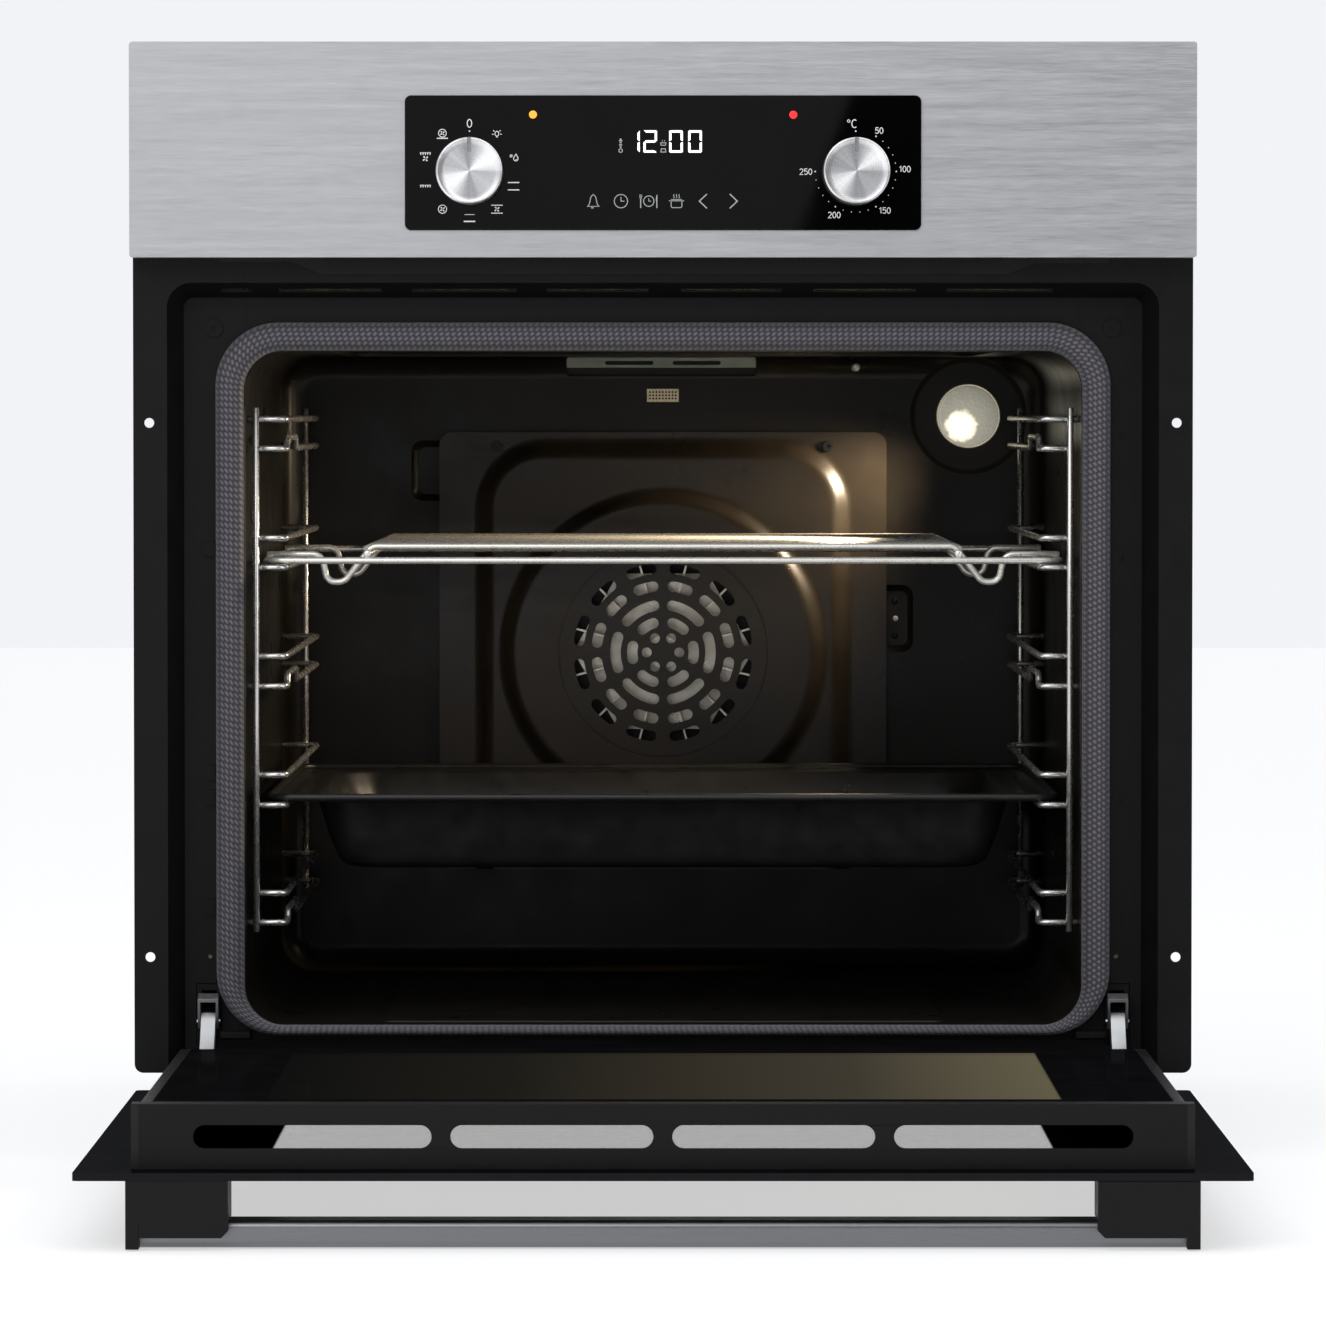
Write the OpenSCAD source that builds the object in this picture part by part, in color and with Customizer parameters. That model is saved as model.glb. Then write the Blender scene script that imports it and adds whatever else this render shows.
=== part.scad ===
// Built-in electric wall oven, 595 mm front, drop-down door open at rest.
// Origin: middle of the underside of the base plate. Front faces -Y, up is +Z.

/* [Front] */
// Width of the fascia and of the outer door glass
front_w = 595; // [560:1:600]
// Height of the control fascia
panel_h = 120; // [100:1:140]
// Height of the door, outer glass
door_h = 466; // [440:1:480]
// Drop of the base plate below the front's lower reference line
foot_h = 6; // [4:0.5:10]

/* [Body] */
// Width of the body behind the front frame
body_w = 556; // [550:1:560]
// Length of the base plate, front to back
body_d = 520; // [500:1:545]
// Thickness of the body sheet
sheet_t = 1; // [0.8:0.1:1.5]
// Width of the enamelled front frame
frame_w = 594; // [580:1:598]
// Distance between the two rows of cabinet screws
screw_pitch_z = 300; // [250:1:350]
// Distance between the left and right cabinet screws
screw_pitch_x = 576; // [570:1:582]
// Diameter of the cabinet screw holes
screw_d = 5.5; // [4.5:0.1:6.5]

/* [Cavity] */
// Inside width of the cavity
cav_w = 472; // [440:1:480]
// Inside height of the cavity
cav_h = 380; // [340:1:390]
// Inside depth of the cavity
cav_d = 444; // [400:1:450]
// Inside corner radius of the cavity
cav_r = 22; // [15:1:35]
// Width of the braided gasket band
gasket_w = 16.5; // [12:0.5:20]

/* [Door] */
// Thickness of the outer and inner glass
glass_t = 4; // [3:0.5:5]
// Depth of the door from outer face to inner glass face
door_t = 33; // [28:1:40]
// Half width of the door body behind the outer glass
door_x = 268; // [260:0.5:270]
// Radius of the hinge pins
pin_r = 3; // [2.5:0.1:4]

/* [Handle] */
// Length of the handle bar between its end brackets' cheeks
bar_l = 528; // [480:1:530]
// Thickness of the handle bar, front to back
bar_t = 13.9; // [10:0.1:18]
// Height of the handle bar on the closed door
bar_h = 24; // [18:1:30]

/* [Controls] */
// Diameter of the two control knobs
knob_d = 37.3; // [32:0.1:44]
// Distance of each knob from the centre line
knob_x = 107.4; // [95:0.1:115]
// Protrusion of the knobs from the panel glass
knob_h = 23; // [15:1:28]
// Width of the black control glass
glass_w = 287.6; // [270:0.1:300]
// Height of the black control glass
glass_h = 75; // [65:1:85]

/* [Racks and trays] */
// Distance between two shelf levels
level_pitch = 67.4; // [60:0.1:70]
// Radius of the rack wires
wire_r = 1.9; // [1.5:0.1:2.5]
// Width of the wire shelf
shelf_w = 456; // [440:1:457]
// Width of the deep tray over its rim
tray_w = 452; // [440:1:455]
// Depth of the tray's well
well_h = 40; // [20:1:45]

/* [Hidden] */
$fn = 64;
e = 0.01;
front_t = 307;
seam = 0.04;
// the hinge axis on the front reference
hinge_y = 22;
hinge_z = 24;
door_z0 = 5;
door_z1 = door_z0 + door_h;
body_x = body_w / 2;
body_y0 = 47;
body_y1 = body_y0 + body_d;
cav_x = cav_w / 2;
cav_z0 = 43;
cav_z1 = cav_z0 + cav_h;
cav_zc = (cav_z0 + cav_z1) / 2;
cav_y0 = 46;
cav_y1 = cav_y0 + cav_d;
fan_z = 239.6;
fas_z0 = 475;
fas_z1 = fas_z0 + panel_h;
knob_z = 522.5;
screw_x = screw_pitch_x / 2;
screw_z0 = 82.7;
screw_z1 = screw_z0 + screw_pitch_z;
fit = 0.05;
// hinge centre plane on each side, and the plug heights on the left
hinge_x = 256.5;
plug_z = [109.6, 171.1, 185.2, 311.5];
lamp_x = 190.3;
lamp_z = 386.3;
// pressed recesses in the back wall: x, z, width, height
niches = [[-138, 352.3, 37.2, 37.6], [137, 260.2, 37.6, 42]];
// upper and lower rail heights of the five levels, level 1 first
rail_lo = [98.6, 165.4, 233, 300.5, 368];
rail_hi = [115.4, 182.6, 250.1, 317.3, 384.8];

// ---- helpers -------------------------------------------------------------

// from the front reference (depth behind the fascia, height) to the object frame
module stand() {
  translate([0, -front_t, foot_h])
    children();
}

// a door piece drawn shut, laid into the open position
module laid() {
  stand()
    translate([0, hinge_y, hinge_z])
      rotate([90, 0, 0])
        translate([0, -hinge_y, -hinge_z])
          children();
}

// extrudes an (x, z) outline between two depths
module deep(y0, y1) {
  translate([0, y1, 0])
    rotate([90, 0, 0])
      linear_extrude(y1 - y0)
        children();
}

// extrudes a (y, z) outline between two x positions
module along_x(x0, x1) {
  translate([x0, 0, 0])
    rotate([90, 0, 90])
      linear_extrude(x1 - x0)
        children();
}

// extrudes an (x, y) outline between two heights
module rise(z0, z1) {
  translate([0, 0, z0])
    linear_extrude(z1 - z0)
      children();
}

// a box given by its lowest and highest corners
module blk(a, b) {
  translate(a)
    cube([b[0] - a[0], b[1] - a[1], b[2] - a[2]]);
}

// a cylinder along Y
module ycyl(x, z, y0, y1, r) {
  translate([x, y0, z])
    rotate([-90, 0, 0])
      cylinder(h = y1 - y0, r = r);
}

// a cylinder along X
module xcyl(y, z, x0, x1, r) {
  translate([x0, y, z])
    rotate([0, 90, 0])
      cylinder(h = x1 - x0, r = r);
}

// rounded rectangle centred on the origin
module rrect(w, h, r) {
  square([w - 2 * r, h], center = true);
  square([w, h - 2 * r], center = true);
  for (i = [-1, 1]) {
    for (j = [-1, 1]) {
      translate([i * (w / 2 - r), j * (h / 2 - r)])
        circle(r);
    }
  }
}

// slot with round ends from x0 to x1
module slot2(x0, x1, zc, h) {
  translate([(x0 + x1) / 2, zc])
    square([x1 - x0 - h, h], center = true);
  translate([x0 + h / 2, zc])
    circle(h / 2);
  translate([x1 - h / 2, zc])
    circle(h / 2);
}

// solid with a tapered arch outline: sides and top lean by "taper"
module tub(hw, top, r, taper, y0, y1, zlow) {
  rise(zlow, top - r)
    polygon([[-hw, y0], [hw, y0], [hw - taper, y1], [taper - hw, y1]]);
  along_x(r - hw, hw - r)
    polygon([[y0, zlow], [y1, zlow], [y1, top - taper], [y0, top]]);
  for (s = [-1, 1]) {
    translate([s * (hw - r), y0, top - r])
      rotate([-90, 0, 0])
        cylinder(h = y1 - y0, r1 = r, r2 = r - taper);
  }
}

// round rod between two points
module rod(p, q, r) {
  d = q - p;
  l = norm(d);
  translate(p)
    rotate([0, acos(d[2] / l), atan2(d[1], d[0])])
      cylinder(h = l, r = r, $fn = 16);
}

// quarter bend of a rod in a level plane, swept from angle a about its centre
module elbow(c, big, r, a) {
  translate(c)
    rotate([0, 0, a])
      rotate_extrude(angle = 90)
        translate([big, 0])
          circle(r, $fn = 24);
}

// curved slot cutter about the fan axis
module arc_slot(r, w, a0, a1, y0, y1) {
  translate([0, y1, fan_z])
    rotate([90, 0, 0])
      rotate([0, 0, a0])
        rotate_extrude(angle = a1 - a0)
          translate([r - w / 2, 0])
            square([w, y1 - y0]);
  for (a = [a0, a1]) {
    ycyl(r * cos(a), fan_z + r * sin(a), y0, y1, w / 2 + 0.2);
  }
}

// ---- body ----------------------------------------------------------------

module base_plate() {
  color("#8f9294")
    stand()
      difference() {
        union() {
          blk([-body_x, body_y0, -foot_h], [body_x, body_y1, 1 - foot_h]);
          for (x = [-150, 0, 150]) {
            blk([x - 20, 90, 1 - foot_h], [x + 20, 520, 3 - foot_h]);
          }
        }
        for (x = [-200, -75, 75, 200]) {
          for (y = [150, 280, 410]) {
            blk([x - 30, y - 3, -foot_h - 1], [x + 30, y + 3, 4 - foot_h]);
          }
        }
      }
}

module side_panel(s) {
  color("#a3a6a8")
    stand()
      difference() {
        union() {
          blk([min(s * body_x, s * (body_x - 1)), body_y0, 1 - foot_h],
            [max(s * body_x, s * (body_x - 1)), body_y1 - 1, 568]);
          blk([min(s * body_x, s * (body_x - 1)), 28.5, 60],
            [max(s * body_x, s * (body_x - 1)), 48, 568]);
          blk([min(s * body_x, s * (body_x - 1)), 22, 470],
            [max(s * body_x, s * (body_x - 1)), 30, 568]);
          blk([min(s * (body_x - 1), s * (body_x - 12)), body_y1 - 2, 1 - foot_h],
            [max(s * (body_x - 1), s * (body_x - 12)), body_y1 - 1, 568]);
        }
        for (y = [430, 455, 480, 505, 530]) {
          blk([min(s * 280, s * 270), y, 480], [max(s * 280, s * 270), y + 6, 540]);
        }
      }
}

module side_panel_left() {
  side_panel(-1);
}

module side_panel_right() {
  side_panel(1);
}

module rear_panel() {
  color("#a3a6a8")
    stand()
      difference() {
        deep(body_y1 - 1, body_y1)
          translate([0, 281.5])
            square([body_w, 573], center = true);
        for (z = [380, 396, 412, 428]) {
          deep(body_y1 - 2, body_y1 + 1)
            slot2(-120, 120, z, 6);
        }
        ycyl(-180, 520, body_y1 - 2, body_y1 + 1, 8);
      }
}

module top_cover() {
  color("#a3a6a8")
    stand()
      difference() {
        blk([-body_x, 22, 568], [body_x, body_y1, 569]);
        for (x = [-220 : 40 : 220]) {
          blk([x - 3, 440, 567], [x + 3, 520, 570]);
        }
      }
}

module front_frame() {
  color("#1b1b1c")
    stand()
      difference() {
        union() {
          deep(21, 22)
            translate([0, (17.5 + 590) / 2])
              rrect(frame_w, 590 - 17.5, 5);
          tub(279, 462.2, 15, 8.33, 21, 46, 8);
        }
        tub(278.17, 461.37, 14.17, 8.17, 20.5, 45, 0);
        deep(40, 50)
          translate([0, cav_zc])
            rrect(cav_w, cav_h, cav_r);
        for (p = [[-248.7, -231.3], [-216, -158], [-141.3, -82.2], [-65.4, -8],
            [10, 66.8], [84.3, 142.7], [159, 219.2]]) {
          blk([p[0], 31, 448], [p[1], 36, 470]);
        }
        for (x = [-screw_x, screw_x]) {
          for (z = [screw_z0, screw_z1]) {
            ycyl(x, z, 18, 25, screw_d / 2);
          }
        }
        for (x = [-256, 256]) {
          ycyl(x, 81.4, 40, 50, 1.2);
        }
        for (s = [-1, 1]) {
          blk([s * hinge_x - 7.2, 40, 24], [s * hinge_x + 7.2, 50, 66.2]);
          blk([s * knob_x - 24, 18, knob_z - 24], [s * knob_x + 24, 25, knob_z + 24]);
        }
        blk([-62, 18, 498], [62, 25, 548]);
        for (s = [-1, 1]) {
          ycyl(s * 253, 436, 40, 50, 2.05);
        }
        for (z = plug_z) {
          ycyl(-255.6, z, 40, 50, 2.05);
        }
        for (x = [-235, 235]) {
          blk([x - seam, 18, 4], [x, 50, 600]);
        }
      }
}

module air_outlet_lip() {
  color("#232324")
    stand()
      union() {
        deep(20, 21)
          polygon([[-288, 478], [-288, 474.9], [-250.5, 474.9], [-247.5, 472.7],
            [-208, 472.7], [-192, 465.8], [193, 465.8], [208, 472], [248.5, 472],
            [251, 474.9], [288, 474.9], [288, 478]]);
        blk([-190, 14, 474], [190, 20.4, 475]);
      }
}

// ---- cavity --------------------------------------------------------------

module cavity_outer(g) {
  deep(cav_y0, cav_y1 + g)
    translate([0, cav_zc])
      rrect(cav_w + 2 * g, cav_h + 2 * g, cav_r + g);
}

module cavity() {
  color("#2a2724") {
    stand()
      difference() {
        union() {
          cavity_outer(1);
          deep(cav_y0, cav_y0 + 1)
            translate([0, cav_zc])
              rrect(cav_w + 24, cav_h + 24, cav_r + 12);
          blk([-191, 80, 415], [191, 430, 442]);
          ycyl(0, fan_z, 480, 503, 99);
          blk([-61, 485, 410], [59, 498, 424]);
          ycyl(lamp_x, lamp_z, 485, 496, 37);
          for (n = niches) {
            deep(485, 494)
              translate([n[0], n[1]])
                rrect(n[2] + 2, n[3] + 2, 8);
          }
        }
        deep(cav_y0 - 1, cav_y1)
          translate([0, cav_zc])
            rrect(cav_w, cav_h, cav_r);
        blk([-190, 81, 414], [190, 429, 441]);
        ycyl(0, fan_z, 480, 502, 98);
        blk([-60, 484, 411], [58, 497, 423]);
        ycyl(0, fan_z, 495, 510, 6);
        ycyl(lamp_x, lamp_z, 480, 495, 36);
        ycyl(lamp_x, lamp_z, 480, 510, 20);
        ycyl(119.5, 416.5, 480, 500, 2.6);
        for (a = [102, 138]) {
          ycyl(88 * cos(a), fan_z + 88 * sin(a), 495, 510, 3.3);
        }
        for (x = [-60, 60]) {
          ycyl(x, 432, 425, 435, 3.3);
        }
        for (x = [-103, 103]) {
          ycyl(x, 367.6, 480, 500, 2.05);
        }
        for (n = niches) {
          deep(484, 493)
            translate([n[0], n[1]])
              rrect(n[2], n[3], 7);
        }
        // welded joints between wrapper, corners and back wall
        for (x = [cav_r - cav_x - seam, cav_x - cav_r]) {
          blk([x, 40, 20], [x + seam, 489.5, 422.9]);
          blk([x, 40, 422.8], [x + seam, 489.5, 445]);
        }
        for (z = [cav_z0 + cav_r - seam, cav_z1 - cav_r]) {
          blk([-260, 40, z], [260, 489.5, z + seam]);
        }
        blk([-260, 489.5, 20], [260, 489.5 + seam, 422.9]);
        blk([-260, 489.5, 422.8], [260, 489.5 + seam, 445]);
      }
    stand()
      blk([-160, 60, 42.9], [160, 367, 44.3]);
  }
}

module cavity_insulation() {
  color("#d9cfa6")
    stand()
      difference() {
        union() {
          deep(48, 512)
            translate([0, 235])
              rrect(524, 454, 20);
        }
        deep(47, 491.3)
          translate([0, cav_zc])
            rrect(cav_w + 2.6, cav_h + 2.6, cav_r + 1.3);
        blk([-191.3, 79.7, 400], [191.3, 430.3, 442.3]);
        blk([-200, 70, 31], [200, 470, 60]);
        ycyl(0, fan_z, 480, 503.3, 99.3);
        ycyl(0, fan_z, 480, 520, 42);
        ycyl(lamp_x, lamp_z, 480, 520, 38);
        ycyl(119.5, 416.5, 480, 520, 4);
        blk([-61.3, 480, 409.7], [59.3, 498.3, 425]);
        for (n = niches) {
          deep(480, 494.3)
            translate([n[0], n[1]])
              rrect(n[2] + 2.6, n[3] + 2.6, 8);
        }
        for (s = [-1, 1]) {
          blk([s * hinge_x - 8, 40, 18], [s * hinge_x + 8, 92, 68]);
        }
        for (a = [102, 138]) {
          ycyl(88 * cos(a), fan_z + 88 * sin(a), 480, 520, 4);
        }
        for (x = [-103, 103]) {
          ycyl(x, 367.6, 480, 520, 4);
        }
        for (x = [-60, 60]) {
          ycyl(x, 432, 425, 520, 4.2);
          ycyl(x, 37.5, 465, 520, 4.2);
        }
      }
}

module door_gasket() {
  color("#58545c")
    stand()
      difference() {
        deep(33.4, 45)
          translate([0, (36.8 + cav_z1 + gasket_w) / 2])
            rrect(cav_w + 2 * gasket_w, cav_z1 + gasket_w - 36.8, 36);
        deep(30, 50)
          translate([0, cav_zc])
            rrect(cav_w + 0.6, cav_h + 0.6, cav_r + 0.3);
        for (x = [-215, 215]) {
          blk([x - seam, 30, 20], [x, 50, 450]);
        }
        for (z = [73, 402]) {
          blk([-260, 30, z], [260, 50, z + seam]);
        }
      }
}

module fan_shell(d, g) {
  deep(483 + d, 490)
    translate([0, 240.4])
      rrect(278 - 2 * g, 271.8 - 2 * g, 8);
  translate([0, d, 0])
    tub(105, 360, 31, -13, 477, 484, 104.5 + g);
  translate([0, 471 + d, fan_z])
    rotate([-90, 0, 0])
      cylinder(h = 7, r1 = 92, r2 = 105);
}

module fan_cover() {
  color("#2d2a27")
    stand()
      difference() {
        fan_shell(0, 0);
        difference() {
          translate([0, 0.01, 0])
            fan_shell(1, 1);
          blk([-150, 460, 200], [-140, 470, 210]);
        }
        for (k = [0 : 5]) {
          ycyl(10.1 * cos(60 * k), fan_z + 10.1 * sin(60 * k), 465, 480, 3.1);
          arc_slot(19.1, 6.5, 60 * k - 12, 60 * k + 12, 465, 480);
          arc_slot(29.5, 6.5, 60 * k - 19, 60 * k + 19, 465, 480);
        }
        for (k = [0 : 11]) {
          arc_slot(41.3, 6.5, 30 * k + 8.5, 30 * k + 21.5, 465, 480);
          arc_slot(52.4, 6.5, 30 * k + 8, 30 * k + 22, 465, 480);
        }
        difference() {
          ycyl(0, fan_z, 465, 471.4, 65.6);
          ycyl(0, fan_z, 465, 472, 64);
        }
        for (x = [-103, 103]) {
          ycyl(x, 367.6, 470, 500, 2.05);
        }
      }
}

module fan_cover_screws() {
  color("#b9b6ae")
    stand()
      for (p = [[-103, 367.6, 483], [103, 367.6, 483]]) {
        difference() {
          union() {
            ycyl(p[0], p[1], p[2] - 1.8, p[2], 3.4);
            ycyl(p[0], p[1], p[2], p[2] + 12, 2);
          }
          blk([p[0] - 2, p[2] - 3, p[1] - 0.4], [p[0] + 2, p[2] - 0.8, p[1] + 0.4]);
          blk([p[0] - 0.4, p[2] - 3, p[1] - 2], [p[0] + 0.4, p[2] - 0.8, p[1] + 2]);
        }
      }
}

module ring_element() {
  color("#4a4744")
    stand() {
      translate([0, 491, fan_z])
        rotate([90, 0, 0])
          rotate([0, 0, 135])
            rotate_extrude(angle = 330)
              translate([88, 0])
                circle(3.2, $fn = 24);
      for (a = [138, 102]) {
        ycyl(88 * cos(a), fan_z + 88 * sin(a), 491, 530, 2.6);
      }
    }
}

module grill_element() {
  z = 432;
  color("#4a4744")
    stand() {
      for (s = [-1, 1]) {
        rod([s * 60, 385, z], [s * 60, 530, z], 3.2);
        elbow([s * 70, 385, z], 10, 3.2, s > 0 ? 180 : 270);
        rod([s * 70, 375, z], [s * 160, 375, z], 3.2);
        elbow([s * 160, 365, z], 10, 3.2, s > 0 ? 0 : 90);
        rod([s * 170, 120, z], [s * 170, 365, z], 3.2);
        elbow([s * 160, 120, z], 10, 3.2, s > 0 ? 270 : 180);
        rod([s * 67, 110, z], [s * 160, 110, z], 3.2);
        elbow([s * 67, 120, z], 10, 3.2, s > 0 ? 180 : 270);
        rod([s * 57, 120, z], [s * 57, 320, z], 3.2);
        elbow([s * 47, 320, z], 10, 3.2, s > 0 ? 0 : 90);
      }
      rod([-47, 330, z], [47, 330, z], 3.2);
    }
}

module bottom_element() {
  z = 37.5;
  color("#4a4744")
    stand() {
      for (s = [-1, 1]) {
        rod([s * 60, 440, z], [s * 60, 530, z], 3.2);
        elbow([s * 70, 440, z], 10, 3.2, s > 0 ? 180 : 270);
        rod([s * 70, 430, z], [s * 170, 430, z], 3.2);
        elbow([s * 170, 420, z], 10, 3.2, s > 0 ? 0 : 90);
        rod([s * 180, 110, z], [s * 180, 420, z], 3.2);
        elbow([s * 170, 110, z], 10, 3.2, s > 0 ? 270 : 180);
      }
      rod([-170, 100, z], [170, 100, z], 3.2);
    }
}

module fan_motor() {
  color("#9a9c9d")
    stand()
      difference() {
        union() {
          ycyl(0, fan_z, 516, 552, 34);
          blk([-277, 513, fan_z - 12], [277, 516, fan_z + 12]);
        }
        ycyl(0, fan_z, 505, 540, 4 + fit);
      }
}

module convection_fan() {
  color("#cfc8ba")
    stand() {
      ycyl(0, fan_z, 477, 538, 4);
      ycyl(0, fan_z, 478, 486, 8);
      translate([0, 497, fan_z])
        rotate([90, 0, 0])
          cylinder(h = 1.5, r = 56, $fn = 6);
      ycyl(0, fan_z, 484, 496, 10);
      for (k = [0 : 11]) {
        translate([0, 0, fan_z])
          rotate([0, 30 * k + 15, 0])
            blk([38, 480, -0.6], [70, 497, 0.6]);
      }
    }
}

module lamp_housing() {
  color("#c9c6bf")
    stand()
      difference() {
        ycyl(lamp_x, lamp_z, 496, 540, 24);
        ycyl(lamp_x, lamp_z, 490, 536, 19.5);
      }
}

module lamp_bulb() {
  color("#f4e3b0")
    stand() {
      ycyl(lamp_x, lamp_z, 498, 518, 9);
      translate([lamp_x, 498, lamp_z])
        sphere(9);
      ycyl(lamp_x, lamp_z, 518, 536, 7);
    }
}

module lamp_lens() {
  color("#f7f0dc")
    stand()
      difference() {
        union() {
          ycyl(lamp_x, lamp_z, 482, 499, 18);
          ycyl(lamp_x, lamp_z, 495, 499, 19);
        }
        ycyl(lamp_x, lamp_z, 484.5, 500, 15.5);
      }
}

module vent_plate() {
  color("#a9b3a8")
    stand()
      difference() {
        blk([-60, 491, 416.4], [58, 492.5, 423]);
        deep(480, 495)
          slot2(-36, -6, 419.4, 2.4);
        deep(480, 495)
          slot2(6, 36, 419.4, 2.4);
      }
}

module steam_mesh() {
  color("#cdbf98")
    stand()
      difference() {
        blk([-10, 488.4, 395.1], [9.8, 490, 403.2]);
        for (x = [-8 : 2 : 8]) {
          for (z = [397.2, 399.2, 401.2]) {
            ycyl(x - 0.1, z, 487, 491, 0.6);
          }
        }
      }
}

module temperature_probe() {
  color("#e2e0da")
    stand() {
      ycyl(119.5, 416.5, 455, 520, 2.4);
      translate([119.5, 455, 416.5])
        sphere(2.4);
    }
}

// ---- side racks, shelf and tray ------------------------------------------

module rail(s, z, pin, hump) {
  x0 = pin ? cav_x : 232.8;
  yf = 73.8;
  yr = 456.2;
  xr = 214.4;
  big = 5;
  rod([s * x0, yf, z], [s * (xr + big), yf, z], wire_r);
  elbow([s * (xr + big), yf + big, z], big, wire_r, s > 0 ? 180 : 270);
  rod([s * xr, yf + big, z], [s * xr, yr - big, z], wire_r);
  elbow([s * (xr + big), yr - big, z], big, wire_r, s > 0 ? 90 : 0);
  rod([s * (xr + big), yr, z], [s * cav_x, yr, z], wire_r);
  if (hump) {
    rod([s * xr, 90, z + 6.5], [s * xr, 192, z + 6.5], wire_r);
    for (y = [93, 189]) {
      rod([s * xr, y, z], [s * xr, y, z + 6.5], 1.6);
    }
  }
}

module rack(s) {
  color("#c8c8c6")
    stand() {
      rod([s * 231, 70.6, 93.4], [s * 231, 70.6, 391.5], wire_r);
      rod([s * 221.3, 459.4, 94], [s * 221.3, 459.4, 391.5], wire_r);
      for (k = [0 : 4]) {
        rail(s, rail_hi[k], k == 4, false);
        rail(s, rail_lo[k], k == 0 || k == 2, k == 0 || k == 2 || k == 4);
      }
    }
}

module rack_left() {
  rack(-1);
}

module rack_right() {
  rack(1);
}

module grid_shelf() {
  sx = shelf_w / 2 - 1.95;
  sz = rail_lo[3] + wire_r + 1.95 + fit;
  big = 10;
  color("#d4d4d2")
    stand() {
      rod([big - sx, 79, sz], [sx - big, 79, sz], 1.95);
      rod([big - sx, 448, sz], [sx - big, 448, sz], 1.95);
      for (s = [-1, 1]) {
        rod([s * sx, 79 + big, sz], [s * sx, 448 - big, sz], 1.95);
        elbow([s * (sx - big), 79 + big, sz], big, 1.95, s > 0 ? 270 : 180);
        elbow([s * (sx - big), 448 - big, sz], big, 1.95, s > 0 ? 0 : 90);
      }
      // two wires from front to back carry the grid
      for (s = [-1, 1])
        rod([s * 168, 77.6, sz + 3.9], [s * 168, 449.4, sz + 3.9], 2.2);
      // hanging loops that keep the shelf from tipping
      for (y = [92, 299.6])
        for (s = [-1, 1]) {
          rod([s * 167, y, sz + 3.3], [s * 180, y, sz + 3.3], 1.9);
          rod([s * 178, y, sz - 10.5], [s * 178, y, sz + 3.3], 1.6);
          rod([s * 176, y, sz - 10.5], [s * 196, y, sz - 10.5], 1.9);
          rod([s * 194, y, sz - 10.5], [s * 194, y, sz + 3.3], 1.6);
          rod([s * 192, y, sz + 3.3], [s * sx, y, sz + 3.3], 1.9);
        }
      // cross wires that the food stands on
      for (y = [92 : 17.3 : 440])
        rod([-169.5, y, sz + 7.8], [169.5, y, sz + 7.8], 1.9);
    }
}

module tray_well(g) {
  // well with leaning walls and round corners
  zt = rail_lo[1] + wire_r + fit + 1.2;
  zb = zt - well_h + g;
  tx = 197 - g;
  bx = 182 - g;
  ty = 190 - 18 - g;
  r = 26 - g;
  translate([0, 262.5, 0]) {
    intersection() {
      rotate([90, 0, 0])
        translate([0, 0, -200])
          linear_extrude(400)
            polygon([[-tx, zt + 1], [-bx - 3, zb + 6], [-bx + 4, zb], [bx - 4, zb],
              [bx + 3, zb + 6], [tx, zt + 1]]);
      translate([-220, 0, 0])
        rotate([90, 0, 90])
          linear_extrude(440)
            polygon([[-ty, zt + 1], [-ty + 12, zb + 6], [-ty + 19, zb],
              [ty - 19, zb], [ty - 12, zb + 6], [ty, zt + 1]]);
      translate([0, 0, zb - 1])
        linear_extrude(60)
          rrect(2 * tx, 2 * ty, r);
    }
  }
}

module deep_tray() {
  zt = rail_lo[1] + wire_r + fit;
  tx = tray_w / 2;
  color("#222224")
    stand()
      difference() {
        union() {
          // flange
          translate([0, 262.5, zt])
            linear_extrude(1.2)
              rrect(tray_w - 6, 375 - 6, 12);
          // rolled rim
          difference() {
            translate([0, 262.5, zt])
              linear_extrude(4.5)
                rrect(tray_w, 375, 15);
            translate([0, 262.5, zt - 1])
              linear_extrude(7)
                rrect(tray_w - 8, 375 - 8, 11);
          }
          tray_well(0);
        }
        tray_well(1.2);
        translate([0, 0, 0])
          blk([-230, 0, zt + 4.5], [230, 500, zt + 20]);
        for (s = [-1, 1]) {
          for (y = [110 : 24 : 420]) {
            translate([s * 208, y, zt - 2])
              cylinder(h = 6, r = 2.4, $fn = 24);
            translate([s * 214, y + 12, zt - 2])
              cylinder(h = 6, r = 2.4, $fn = 24);
          }
        }
      }
}

// ---- plugs, rivets, hinges -----------------------------------------------

module frame_plugs() {
  color("#141415")
    stand()
      difference() {
        for (z = plug_z) {
          ycyl(-255.6, z, 43.2, 45, 4.4);
          ycyl(-255.6, z, 45, 47.8, 2);
        }
        blk([-252.6, 40, 90], [-240, 45.5, 330]);
      }
}

module frame_rivets() {
  color("#2b2b2c")
    stand()
      for (x = [-253, 253]) {
        difference() {
          union() {
            ycyl(x, 436, 43.6, 45, 5);
            ycyl(x, 436, 45, 47.8, 2);
          }
          ycyl(x, 436, 43, 44.4, 1.4);
        }
      }
}

module hinge_arm(s) {
  color("#b5b7b8")
    stand() {
      along_x(s * hinge_x - 4, s * hinge_x + 4)
        polygon([[22, 16.5], [30, 20], [36, 26], [45, 30], [88, 30], [88, 40],
          [80, 40], [80, 50], [60, 50], [46, 52], [38, 50], [30, 40], [22, 31.5],
          [16, 27], [16, 20]]);
      xcyl(hinge_y, hinge_z, s * hinge_x - 8.6, s * hinge_x + 8.6, pin_r);
      xcyl(hinge_y, hinge_z, s * hinge_x - 6, s * hinge_x + 6, 6);
      xcyl(40, 45, s * hinge_x - 6.6, s * hinge_x + 6.6, 1.5);
    }
}

module hinge_arm_left() {
  hinge_arm(-1);
}

module hinge_arm_right() {
  hinge_arm(1);
}

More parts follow.
